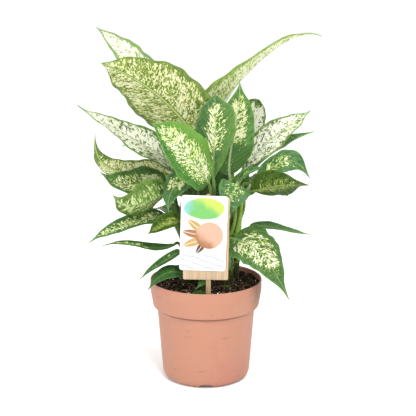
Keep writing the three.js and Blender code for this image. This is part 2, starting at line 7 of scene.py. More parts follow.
import logging
import math
from collections.abc import Callable
from dataclasses import dataclass, field
from enum import Enum
from itertools import combinations
from typing import ClassVar

import bpy
import numpy as np
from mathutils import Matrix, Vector


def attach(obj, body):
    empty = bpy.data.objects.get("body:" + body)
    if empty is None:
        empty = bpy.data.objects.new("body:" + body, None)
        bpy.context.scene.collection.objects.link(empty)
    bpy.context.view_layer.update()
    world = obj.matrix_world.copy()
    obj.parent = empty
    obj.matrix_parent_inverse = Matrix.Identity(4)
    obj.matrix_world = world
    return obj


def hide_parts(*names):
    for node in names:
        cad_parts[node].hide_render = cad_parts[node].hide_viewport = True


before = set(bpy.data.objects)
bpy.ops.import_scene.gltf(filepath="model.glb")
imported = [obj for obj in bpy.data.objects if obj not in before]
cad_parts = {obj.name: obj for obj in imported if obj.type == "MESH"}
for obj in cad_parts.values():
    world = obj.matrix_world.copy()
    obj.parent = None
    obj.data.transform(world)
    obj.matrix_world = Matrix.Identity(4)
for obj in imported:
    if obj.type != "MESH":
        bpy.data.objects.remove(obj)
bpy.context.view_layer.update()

Array = np.ndarray
Material = bpy.types.Material
Object = bpy.types.Object
Socket = bpy.types.NodeSocket
Rng = np.random.Generator
Pair = tuple[float, float]
Point = tuple[float, float, float]
Colour = tuple[float, float, float]
Tone = Colour | Socket
Settings = dict[str, object]
Inputs = dict[int | str, object]

LOG = logging.getLogger("dieffenbachia")
MM = 0.001
BODY = "root"
UP = np.array([0.0, 0.0, 1.0])
NOISE_SIZE = 64
SOIL_SEED, GRAIN_SEED, THREAD_SEED = 17, 5, 8
SOIL_Z = 103.0


# Shader arithmetic


def math_method(operation: str, reflected: bool = False) -> Callable[..., "Value"]:
    """Makes a method of Value that adds one Math node.

    Args:
        operation: The node's operation.
        reflected: Whether the other number comes first.

    Returns:
        The method.
    """

    def method(self: "Value", other: "Number" = 0.0) -> "Value":
        """The node's result."""
        inputs = {0: other, 1: self} if reflected else {0: self, 1: other}
        return self.shader.value("ShaderNodeMath", {"operation": operation}, inputs)

    return method


class Value:
    """A number socket of a material that takes part in Python arithmetic."""

    def __init__(self, shader: "Shader", socket: Socket) -> None:
        """Wraps an output socket of the shader's tree."""
        self.shader, self.socket = shader, socket

    __add__ = __radd__ = math_method("ADD")
    __mul__ = __rmul__ = math_method("MULTIPLY")
    __sub__, __rsub__ = math_method("SUBTRACT"), math_method("SUBTRACT", reflected=True)
    __truediv__, __rtruediv__ = math_method("DIVIDE"), math_method("DIVIDE", reflected=True)
    __pow__, __abs__ = math_method("POWER"), math_method("ABSOLUTE")
    fract, lesser, greater = math_method("FRACT"), math_method("MINIMUM"), math_method("MAXIMUM")

    def step(self, low: float, high: float) -> "Value":
        """A smooth rise from 0 at low to 1 at high, or a smooth fall where high is under low.

        Args:
            low: Where the step is 0.
            high: Where the step is 1.

        Returns:
            The step's height.
        """
        falls = high < low
        ends = {1: min(low, high), 2: max(low, high), 3: float(falls), 4: float(not falls)}
        smooth = {"interpolation_type": "SMOOTHSTEP"}
        return self.shader.value("ShaderNodeMapRange", smooth, {0: self, **ends})


Number = Value | float


def span(*parts: Value) -> Value:
    """The length of a vector with these parts."""
    return sum((part**2.0 for part in parts), start=0.0) ** 0.5


class Shader:
    """A material's node tree, ending in one Principled surface."""

    def __init__(self, name: str) -> None:
        """Makes a material, whose place is the point in the piece's own coordinates, in metres.

        Args:
            name: The material's name.
        """
        self.material = bpy.data.materials.new(name)
        self.material.use_nodes = True
        self.tree = self.material.node_tree
        self.tree.nodes.clear()
        self.place = self.node("ShaderNodeTexCoord", {}, {}).outputs["Object"]

    def node(self, kind: str, settings: Settings, inputs: Inputs) -> bpy.types.Node:
        """Adds one node.

        Args:
            kind: The node's type.
            settings: Its settings, set before its sockets.
            inputs: The number, colour, socket or Value of each input, by place or name.

        Returns:
            The new node.
        """
        made = self.tree.nodes.new(kind)
        for key, value in settings.items():
            setattr(made, key, value)
        for key, value in inputs.items():
            socket = made.inputs[key]
            value = value.socket if isinstance(value, Value) else value
            if isinstance(value, Socket):
                self.tree.links.new(value, socket)
            else:
                socket.default_value = (*value, 1.0) if socket.type == "RGBA" else value
        return made

    def value(self, kind: str, settings: Settings, inputs: Inputs) -> Value:
        """The number that a new node gives first."""
        return Value(self, self.node(kind, settings, inputs).outputs[0])

    def split(self, vector: Socket) -> tuple[Value, ...]:
        """The three numbers of a vector."""
        node = self.node("ShaderNodeSeparateXYZ", {}, {0: vector})
        return tuple(Value(self, out) for out in node.outputs)

    def join(self, x: Number, y: Number, z: Number) -> Socket:
        """The vector of three numbers."""
        return self.node("ShaderNodeCombineXYZ", {}, {0: x, 1: y, 2: z}).outputs[0]

    def millimetres(self) -> tuple[Value, ...]:
        """The three numbers of the place, in millimetres."""
        return tuple(part * 1000.0 for part in self.split(self.place))

    def attribute(self, name: str) -> tuple[Value, ...]:
        """The three numbers of a vector that the mesh carries."""
        return self.split(self.node("ShaderNodeAttribute", {"attribute_name": name}, {}).outputs["Vector"])

    def noise(
        self, scale: float | Point, detail: float, roughness: float = 0.5, distortion: float = 0.0,
        vector: Socket | None = None,
    ) -> Value:
        """Soft noise round 0.5.

        Args:
            scale: Its features to the unit, as one number or as one for each axis.
            detail: Its octaves past the first.
            roughness: The weight of the finer octaves.
            distortion: How far it is bent.
            vector: Where it is read, if not at the place.

        Returns:
            The noise.
        """
        vector = self.place if vector is None else vector
        if isinstance(scale, tuple):
            stretch = {0: vector, 1: scale}
            vector = self.node("ShaderNodeVectorMath", {"operation": "MULTIPLY"}, stretch).outputs[0]
            scale = 1.0
        sizes = {"Scale": scale, "Detail": detail, "Roughness": roughness, "Distortion": distortion}
        return self.value("ShaderNodeTexNoise", {}, {"Vector": vector, **sizes})

    def mix(self, base: Tone, *coats: tuple[Number, Tone]) -> Socket:
        """Lays coats of colour over a base.

        Args:
            base: The lowest colour.
            coats: The share from 0 to 1 and the colour of each coat.

        Returns:
            The mixed colour.
        """
        for share, coat in coats:
            inputs = {0: share, 6: base, 7: coat}
            base = self.node("ShaderNodeMix", {"data_type": "RGBA"}, inputs).outputs[2]
        return base

    def bump(self, height: Value, distance: float, strength: float) -> Socket:
        """A surface normal from a height of 0 to 1, whose full depth is the distance in metres."""
        sizes = {"Strength": strength, "Distance": distance, "Height": height}
        return self.node("ShaderNodeBump", {}, sizes).outputs[0]

    def surface(
        self, colour: Tone, roughness: Number, normal: Socket | None = None, specular: float = 0.5
    ) -> Material:
        """Ends the material in a Principled surface.

        Args:
            colour: Its base colour.
            roughness: Its roughness.
            normal: Its normal, where it has a relief.
            specular: Its specular level.

        Returns:
            The finished material.
        """
        inputs = {"Base Color": colour, "Roughness": roughness, "Specular IOR Level": specular}
        if normal is not None:
            inputs["Normal"] = normal
        principled = self.node("ShaderNodeBsdfPrincipled", {}, inputs)
        self.node("ShaderNodeOutputMaterial", {}, {0: principled.outputs[0]})
        return self.material


# Meshes


def linked(name: str, data: bpy.types.ID) -> Object:
    """Puts a mesh, a lamp or a camera into the scene.

    Args:
        name: The object's name.
        data: What it shows.

    Returns:
        The object.
    """
    made = bpy.data.objects.new(name, data)
    bpy.context.scene.collection.objects.link(made)
    return made


@dataclass
class Skin:
    """A closed surface: points, faces and the vectors that each point carries."""

    points: Array
    faces: list[Array]
    fields: dict[str, Array] = field(default_factory=dict)

    def to_object(self, name: str) -> Object:
        """Makes a flat shaded object.

        Args:
            name: The object's name.

        Returns:
            The object.
        """
        mesh = bpy.data.meshes.new(name)
        mesh.from_pydata((self.points * MM).tolist(), [], [f for part in self.faces for f in part.tolist()])
        for key, values in self.fields.items():
            attribute = mesh.attributes.new(key, "FLOAT_VECTOR", "POINT")
            attribute.data.foreach_set("vector", values.astype(np.float32).ravel())
        return linked(name, mesh)

    def to_piece(self, name: str, material: Material, slot: str, node: str | None = None) -> Object:
        """Makes a smooth piece of the part, riding on the body.

        Args:
            name: The piece's name.
            material: Its material.
            slot: The name of its finish's material slot; not used.
            node: The solid that it replaces, where it replaces one.

        Returns:
            The piece.
        """
        made = self.to_object(name)
        made.data.shade_smooth()
        made.data.materials.append(material)
        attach(made, BODY)
        if node:
            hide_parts(node)
        return made


def loft(rings: Array, fields: dict[str, Array] | None = None) -> Skin:
    """Closes a grid of rings into a skin, with a pole at each end.

    Point (row, column) of the grid is joined to the next row and to the next column, and the last column
    to the first. Each end closes on the mean of its ring. The rings turn right-handed about the path.

    Args:
        rings: The points, as rows by columns by 3.
        fields: A vector for each grid point, by name.

    Returns:
        The closed skin.
    """
    rows, columns = rings.shape[:2]
    here = np.arange(rows * columns).reshape(rows, columns)
    beside = np.roll(here, -1, axis=1)
    quads = np.stack([here[:-1], beside[:-1], beside[1:], here[1:]], axis=-1).reshape(-1, 4)
    pole = np.full(columns, rows * columns)
    fans = [np.stack([pole, beside[0], here[0]], 1), np.stack([pole + 1, here[-1], beside[-1]], 1)]

    def poled(grid: Array) -> Array:
        """The grid as a list, with the means of its two end rings behind it."""
        return np.concatenate([grid.reshape(-1, 3), grid[[0, -1]].mean(axis=1)])

    return Skin(poled(rings), [quads, *fans], {key: poled(grid) for key, grid in (fields or {}).items()})


def gathered(skins: list[Skin]) -> Skin:
    """Joins skins into one, without their fields.

    Args:
        skins: The skins.

    Returns:
        The joined skin.
    """
    starts = np.cumsum([0] + [len(skin.points) for skin in skins[:-1]])
    faces = [part + start for skin, start in zip(skins, starts) for part in skin.faces]
    return Skin(np.concatenate([skin.points for skin in skins]), faces)


def scattered(base: Array, faces: Array, places: Array, axes: Array) -> Skin:
    """Sets copies of one small closed form.

    Copy i holds base @ axes[i] + places[i], so the rows of axes[i] are where the form's own axes go. The
    faces of a copy that its matrix mirrors are turned round.

    Args:
        base: The form's points.
        faces: The form's faces.
        places: The centre of each copy.
        axes: A 3 by 3 matrix for each copy.

    Returns:
        All copies in one skin, each with numbers of its own in its field "grain".
    """
    points = np.einsum("pk,nkj->npj", base, axes) + places[:, None]
    mirrored = np.linalg.det(axes)[:, None, None] < 0
    starts = (np.arange(len(places)) * len(base))[:, None, None]
    turned = np.where(mirrored, faces[:, ::-1], faces) + starts
    own = np.random.default_rng(GRAIN_SEED).random((len(places), 1, 3))
    grain = np.broadcast_to(own, points.shape).reshape(-1, 3)
    return Skin(points.reshape(-1, 3), [turned.reshape(-1, 3)], {"grain": grain})


def icosahedron() -> tuple[Array, Array]:
    """A ball of 20 triangles.

    Its points are (0, ±1, ±g) for the golden ratio g and what comes of moving the three numbers on. Three
    points that are all 2 apart make a face, and it is turned outwards.

    Returns:
        The points, at a radius of 1, and the faces.
    """
    g = (1 + 5**0.5) / 2
    points = np.array([np.roll((0, a, b * g), k) for k in range(3) for a in (-1, 1) for b in (-1, 1)])
    close = np.isclose(np.linalg.norm(points[:, None] - points, axis=2), 2)
    corners = [c for c in combinations(range(12), 3) if all(close[i, j] for i, j in combinations(c, 2))]
    faces = [c if np.linalg.det(points[list(c)]) > 0 else c[::-1] for c in corners]
    return points / math.hypot(1, g), np.array(faces)


def unit(vectors: Array) -> Array:
    """Vectors of length 1 along the last axis."""
    return vectors / np.linalg.norm(vectors, axis=-1, keepdims=True)


def circle(count: int) -> Array:
    """Even points on a level circle with a radius of 1."""
    turn = np.arange(count) * 2 * math.pi / count
    return np.stack([np.cos(turn), np.sin(turn), 0 * turn], axis=1)


def spun(profile: Array, count: int) -> Array:
    """The rings of a profile of radii and heights that is turned about the axis."""
    return profile[:, 0, None, None] * circle(count) + profile[:, 1, None, None] * UP


def smooth_share(value: Array, low: float, high: float) -> Array:
    """A smooth rise from 0 at low to 1 at high: 3t² - 2t³ of the clipped share t."""
    t = np.clip((value - low) / (high - low), 0, 1)
    return t * t * (3 - 2 * t)


def lattice_noise(x: Array, y: Array, pitch: float, seed: int) -> Array:
    """Smooth noise from -1 to 1: random numbers on a square lattice, eased between its corners.

    Args:
        x: Where it is read.
        y: Where it is read.
        pitch: The lattice's spacing.
        seed: Which noise it is.

    Returns:
        The noise at each point.
    """
    table = np.random.default_rng(seed).uniform(-1, 1, (NOISE_SIZE, NOISE_SIZE))
    u, v = x / pitch, y / pitch
    i, j = np.floor(u).astype(int) % NOISE_SIZE, np.floor(v).astype(int) % NOISE_SIZE
    i2, j2 = (i + 1) % NOISE_SIZE, (j + 1) % NOISE_SIZE
    a, b = smooth_share(u % 1, 0, 1), smooth_share(v % 1, 0, 1)
    near = table[i, j] * (1 - a) + table[i2, j] * a
    far = table[i, j2] * (1 - a) + table[i2, j2] * a
    return near * (1 - b) + far * b


def bezier(controls: Array, t: Array) -> tuple[Array, Array]:
    """Points and unit tangents of a cubic curve.

    Args:
        controls: Its four control points, 4 by 3.
        t: The parameters.

    Returns:
        The points and the tangents, a row for each parameter.
    """
    u = 1 - t
    weights = np.stack([u**3, 3 * u * u * t, 3 * u * t * t, t**3], axis=1)
    slopes = np.stack([-u * u, u * u - 2 * u * t, 2 * u * t - t * t, t * t], axis=1)
    return weights @ controls, unit(slopes @ controls)


def crisp(piece: Object, degrees: float = 50.0) -> Object:
    """The piece, with its edges of more than some degrees sharp."""
    piece.data.set_sharp_from_angle(angle=math.radians(degrees))
    return piece


def cut_away(piece: Object, cutters: Skin) -> None:
    """Takes the cutters' space out of a piece.

    Args:
        piece: The piece that is cut.
        cutters: The closed forms that are taken away.
    """
    tool = cutters.to_object("cutters")
    modifier = piece.modifiers.new("cut", "BOOLEAN")
    modifier.operation, modifier.solver, modifier.object = "DIFFERENCE", "EXACT", tool
    cut = bpy.data.meshes.new_from_object(piece.evaluated_get(bpy.context.evaluated_depsgraph_get()))
    piece.modifiers.clear()
    piece.data = cut
    bpy.data.objects.remove(tool)


# Finishes


@dataclass(frozen=True)
class PotFinish:
    """Matt terracotta-coloured plastic. A painted leaf shadow lies round a given point on the collar's right
    side, and a painted shade line lies at crease_z in the crease under the collar.
    """

    base: Colour = (0.356, 0.157, 0.097)
    pink: Colour = (0.348, 0.133, 0.092)
    pale: Colour = (0.391, 0.192, 0.124)
    # the dust on the scuffs, also the colour of the painted leaf shadow
    dust_and_shadow: Colour = (0.193, 0.074, 0.03)
    # painted shade in the crease under the collar
    crease_shade: Colour = (0.126, 0.039, 0.013)
    # the middle of the painted leaf shadow on the collar
    leaf_shadow_at: Point = (55.0, -20.0, 99.0)
    crease_z: float = 79.2
    roughness: float = 0.55

    def make(self) -> Material:
        """Clouds of two tones, specks, scuffs, the painted leaf shadow, the painted shade line under the
        collar and a fine grain.

        Returns:
            The material.
        """
        shader = Shader("terracotta_plastic")
        cloud, drift = shader.noise(16.0, 3.0, 0.55), shader.noise(55.0, 4.0, 0.6)
        speck, scuff = shader.noise(420.0, 2.0, 0.6), shader.noise((55.0, 55.0, 200.0), 3.0, 0.6)
        place = shader.millimetres()
        apart = span(*(part - at for part, at in zip(place, self.leaf_shadow_at)))
        colour = shader.mix(
            self.base,
            (cloud.step(0.5, 0.72), self.pink),
            (drift.step(0.52, 0.8) * 0.55, self.pale),
            (speck.step(0.66, 0.76) * 0.22, self.pink),
            (scuff.step(0.62, 0.74) * 0.4, self.dust_and_shadow),
            # painted shadow of a leaf on the collar's right side
            ((apart + (drift - 0.5) * 22.0).step(24.0, 5.0), self.dust_and_shadow),
            # painted shade line in the crease under the collar
            (abs(place[2] - self.crease_z).step(1.7, 0.5) * 0.85, self.crease_shade),
        )
        normal = shader.bump(shader.noise(1500.0, 2.0) * 0.35 + drift * 0.65, 0.00025, 0.5)
        return shader.surface(colour, self.roughness + (cloud - 0.5) * 0.12, normal)


@dataclass(frozen=True)
class SoilFinish:
    """Damp potting mix, nearly black in the hollows."""

    wet: Colour = (0.0017, 0.0009, 0.0007)
    brown: Colour = (0.0084, 0.0037, 0.0021)
    dry: Colour = (0.059, 0.034, 0.02)

    def make(self) -> Material:
        """Brown clods with dry flecks.

        Returns:
            The material.
        """
        shader = Shader("potting_mix")
        clods, fine = shader.noise(300.0, 4.0, 0.65), shader.noise(1100.0, 3.0, 0.7)
        colour = shader.mix(
            self.wet, (clods.step(0.45, 0.68), self.brown), (fine.step(0.62, 0.74) * 0.7, self.dry)
        )
        normal = shader.bump(clods * 0.6 + fine * 0.4, 0.0016, 0.9)
        return shader.surface(colour, 0.9 + (fine - 0.5) * 0.1, normal, 0.08)


@dataclass(frozen=True)
class LooseFinish:
    """Loose grains, each with a tone of its own between dark and light."""

    name: str
    dark: Colour
    light: Colour
    roughness: float = 0.8

    def make(self) -> Material:
        """Tones from the field "grain", more of them dark than light, and a fine mottle.

        Returns:
            The material.
        """
        shader = Shader(self.name)
        tone, other, _ = shader.attribute("grain")
        mottle = shader.noise(1400.0, 2.0)
        colour = shader.mix(self.dark, ((tone * tone * 0.8 + mottle * 0.35).lesser(1.0), self.light))
        return shader.surface(colour, self.roughness - other * 0.08, shader.bump(mottle, 0.0004, 0.7), 0.12)


@dataclass(frozen=True)
class CaneFinish:
    """Green cane with paler leaf scars a pitch apart, corky towards the soil, with painted shade inside the
    plant.
    """

    green: Colour = (0.025, 0.071, 0.0084)
    pale: Colour = (0.2, 0.32, 0.05)
    cork: Colour = (0.042, 0.03, 0.013)
    # painted shade colour for the canes inside the plant, over inner_x
    inner: Colour = (0.014, 0.034, 0.006)
    pitch: float = 19.0
    inner_x: Pair = (24.0, 12.0)

    def make(self) -> Material:
        """Streaks along the cane, then cork, scars and shade.

        Returns:
            The material.
        """
        shader = Shader("cane_bark")
        x, _, z = shader.millimetres()
        height = z - SOIL_Z
        scar = abs((height / self.pitch + 0.5).fract() - 0.5) * self.pitch
        streak = shader.noise((900.0, 900.0, 130.0), 3.0, 0.6)
        corky = (height + (streak - 0.5) * 60.0).step(38.0, 4.0)
        colour = shader.mix(
            self.green,
            (streak.step(0.46, 0.66), self.pale),
            (corky * 0.85, self.cork),
            (scar.step(1.6, 0.5) * 0.6, self.pale),
            # painted shade on the canes inside the plant
            (x.step(*self.inner_x) * 0.6, self.inner),
        )
        normal = shader.bump(streak + scar.step(1.0, 0.0) * 0.6, 0.0004, 0.6)
        return shader.surface(colour, 0.42 + corky * 0.35, normal, 0.15)


@dataclass(frozen=True)
class WoodFinish:
    """Pale sawn wood with its grain along z."""

    name: str
    light: Colour
    dark: Colour
    roughness: float = 0.7

    def make(self) -> Material:
        """Growth lines stretched along z, with short darker pores between them.

        Returns:
            The material.
        """
        shader = Shader(self.name)
        lines = shader.noise((1100.0, 500.0, 22.0), 3.0, 0.6, 0.4)
        pores = shader.noise((4200.0, 2000.0, 170.0), 1.0)
        colour = shader.mix(
            self.light, (lines.step(0.38, 0.66), self.dark), (pores.step(0.62, 0.72) * 0.35, self.dark)
        )
        return shader.surface(colour, self.roughness, shader.bump(lines * 0.6 + pores * 0.4, 0.0002, 0.5))


@dataclass(frozen=True)
class CardFinish:
    """A glossy white card: an oval wash of colour, a warm disc with leaf shapes, and faint folds.

    Places on the card are across and up from its middle. A leaf has its middle, its direction in degrees,
    half its length and its colour.
    """

    white: Colour = (0.655, 0.655, 0.647)
    aqua: Colour = (0.176, 0.403, 0.378)
    green: Colour = (0.134, 0.361, 0.097)
    yellow: Colour = (0.378, 0.462, 0.084)
    gold: Colour = (0.386, 0.252, 0.084)
    tan: Colour = (0.269, 0.122, 0.05)
    brown: Colour = (0.092, 0.038, 0.025)
    peach: Colour = (0.487, 0.294, 0.206)
    grey: Colour = (0.277, 0.328, 0.37)
    oval_up: float = 26.0
    oval_radii: Pair = (21.5, 11.5)
    disc: Pair = (6.0, -2.0)
    disc_edge: Pair = (14.4, 13.8)
    leaves: tuple[tuple[float, float, float, float, Colour], ...] = (
        (-8.0, 7.5, 142.0, 12.0, gold), (-11.0, -0.5, 168.0, 12.0, tan),
        (-10.0, -9.5, 200.0, 12.5, gold), (-2.0, -14.0, 236.0, 10.0, brown),
    )

    def make(self, panel: "Panel") -> Material:
        """Works the artwork out on the card's own plane.

        Args:
            panel: The card.

        Returns:
            The material.
        """
        shader = Shader("printed_card")
        x, _, z = shader.millimetres()
        across, up = self._turned(x - panel.x, z - panel.z, panel.turn)
        cloud = shader.noise(60.0, 2.0) - 0.5
        slope = across * 0.45 + (up - self.oval_up - 1.0) * 0.9 + cloud * 12.0
        wash = shader.mix(
            self.aqua,
            ((across + cloud * 30.0).step(-19.0, -6.0), self.green),
            (slope.step(-2.0, 8.0), self.yellow),
        )
        oval = span(across / self.oval_radii[0], (up - self.oval_up) / self.oval_radii[1])
        right, over = across - self.disc[0], up - self.disc[1]
        low = (cloud * 12.0 - right * 0.6 - over * 0.6).step(1.0, 10.0)
        fold = abs((across * 0.05 + up * 0.16 + cloud * 1.2).fract() - 0.5)
        sides = ((across, panel.width), (up, panel.height))
        inside = [(abs(part) - size / 2).step(-0.8, -1.2) for part, size in sides]
        colour = shader.mix(
            self.white,
            ((oval + cloud * 0.2).step(1.03, 0.93), wash),
            *((self._leaf(across - a, up - b, lean, size), tone) for a, b, lean, size, tone in self.leaves),
            (span(right, over).step(*self.disc_edge), shader.mix(self.peach, (low, self.tan))),
            (fold.step(0.3, 0.02) * up.step(-18.0, -24.0) * 0.8, self.grey),
            (1.0 - inside[0] * inside[1], self.white),
        )
        return shader.surface(colour, 0.3 + cloud * 0.06, specular=0.3)

    @staticmethod
    def _turned(across: Value, up: Value, turn: float) -> tuple[Value, Value]:
        """The two measures along axes that are turned by some degrees."""
        c, s = math.cos(math.radians(turn)), math.sin(math.radians(turn))
        return across * c + up * s, up * c - across * s

    def _leaf(self, across: Value, up: Value, lean: float, size: float) -> Value:
        """A leaf's mask: 1 where the distance from its midline is under a parabola along it.

        Args:
            across: The place across the card, from the leaf's middle.
            up: The place up the card, from the leaf's middle.
            lean: The leaf's direction in degrees.
            size: Half the leaf's length.

        Returns:
            1 inside the leaf, and 0 outside it and on its midline.
        """
        along, off = self._turned(across, up, lean)
        off = abs(off)
        edge = (1.0 - (along / size) ** 2.0) * (0.36 * size) - off
        return edge.step(0.0, 0.5) * off.step(0.1, 0.4)


@dataclass(frozen=True)
class LeafFinish:
    """One kind of variegation.

    across_vein and along_vein are the size of its flecks, and patch that of the areas they gather in. The
    cream stays inside the share margin of the half width, thins out over feather, and is at least sparse
    dense. spots puts deep green on the cream, base_shade on the base, and rib_border beside the midrib.
    glow paints light on one half. inner is painted shade on the stalks inside the plant, over inner_x and
    inner_z.
    """

    green: Colour
    deep: Colour
    edge: Colour
    cream: Colour
    yellow: Colour
    across_vein: float
    along_vein: float
    margin: float
    feather: float
    patch: float = 17.0
    spots: float = 0.0
    base_shade: float = 0.0
    rib: Colour = (0.252, 0.353, 0.109)
    rib_share: float = 0.45
    rib_border: float = 0.0
    # painted light colour for one half of the blade
    lit: Colour = (0.193, 0.353, 0.05)
    glow: float = 0.0
    sparse: float = 0.0
    stalk: Colour = (0.165, 0.28, 0.045)
    # painted shade colour for the stalks inside the plant
    inner: Colour = (0.012, 0.03, 0.006)
    inner_x: Pair = (24.0, 12.0)
    inner_z: Pair = (226.0, 200.0)
    roughness: float = 0.36
    vein_pitch: float = 5.5
    back: Colour = (0.202, 0.277, 0.118)
    back_paling: float = 0.3

    def make(self, name: str) -> Material:
        """Cream patches and spots along the side veins, a plain margin and the midrib.

        The field "vein" gives the side vein's place on the midrib, the distance out along it and the leaf's
        seed; "blade" the share s of the blade's length, the share v of its half width and the half width;
        "spread" the amount of cream and the shares s where it starts and ends; "side" 1 on the upper face.

        Args:
            name: The material's name.

        Returns:
            The material.
        """
        shader = Shader(name)
        q, r, seed = shader.attribute("vein")
        s, v, half = shader.attribute("blade")
        amount, fade_in, fade_out = shader.attribute("spread")
        under = 1.0 - shader.attribute("side")[0]
        off = abs(v)
        side_shift = v.step(-0.01, 0.01) * 37.0

        def along(width: float, length: float, shift: float, detail: float = 1.0) -> Value:
            """Noise whose features lie along the side veins, with another draw for each half."""
            vector = shader.join(q / width, r / length + side_shift, seed + shift)
            return shader.noise(1.0, detail, 0.6, 0.25, vector)

        wide, long = self.across_vein, self.along_vein
        streak, spot = along(wide, long, 0.0, 3.0), along(wide, long * 0.5, 23.0)
        fleck = along(wide * 0.5, long * 0.35, 41.0)
        drift = along(self.patch, self.patch * 1.3, 11.0, 2.0) - 0.5
        uneven = along(wide * 1.8, long * 1.1, 31.0, 3.0) - 0.5

        reach = (s - fade_in + drift * 0.5).step(-0.08, 0.1)
        reach = reach * (fade_out - s + drift * 0.5).step(-0.08, 0.12)
        within = (off + drift * 0.35).step(self.margin + 0.05, self.margin - self.feather)
        density = amount * reach.greater(self.sparse) * within
        level = streak * 0.38 + drift * 0.16 + fleck * 0.46 + density * 0.34 - 0.59
        cream = level.step(-0.006, 0.014)
        warm = (level + drift * 0.12).step(0.07, 0.012)
        shade = uneven.step(-0.1, 0.14).greater((s + drift * 0.4).step(0.55, 0.35) * self.base_shade)
        shade = shade.greater(fleck.step(0.52, 0.64) * 0.75)
        spotted = spot * 0.62 + fleck * 0.38 + (off - s) * 0.06 + self.spots * 0.3
        spotted = spotted.step(0.61, 0.635) * cream

        line = abs((q / self.vein_pitch + uneven * 0.5).fract() - 0.5)
        vein = line.step(0.1, 0.0) * off.step(1.0, 0.6)
        from_rib = off * half
        x, _, z = shader.millimetres()
        stem = s.step(0.02, -0.03)
        stalk = shader.mix(
            self.stalk,
            (shader.noise(120.0, 3.0).step(0.4, 0.65) * 0.6, self.rib),
            # painted shade on the stalks inside the plant
            (x.step(*self.inner_x) * z.step(*self.inner_z) * 0.75, self.inner),
        )
        colour = shader.mix(
            self.green,
            (shade, self.deep),
            (fleck.step(0.44, 0.32) * 0.35, self.edge),
            (vein * 0.14, self.edge),
            # painted light on the blade's side where v runs towards 1
            ((v + uneven * 0.9).step(0.15, 0.95) * self.glow, self.lit),
            (cream, shader.mix(self.cream, (warm, self.yellow))),
            (spotted * min(0.92, self.spots * 6.0), self.deep),
            (((1.0 - off) * half).step(2.2, 0.6) * 0.6, self.edge),
            ((from_rib + s * 1.4).step(3.1, 2.2) * self.rib_border, self.deep),
            ((from_rib + s * 1.1).step(1.9, 0.9) * self.rib_share, self.rib),
            (stem, stalk),
            (under * self.back_paling, self.back),
        )
        swell = line.step(0.0, 0.32) * (1.0 - stem) * off.step(1.0, 0.8)
        normal = shader.bump(swell + shader.noise(900.0, 2.0) * 0.2, 0.0004, 0.6)
        return shader.surface(colour, self.roughness + under * 0.12 + uneven * 0.14, normal, 0.13)


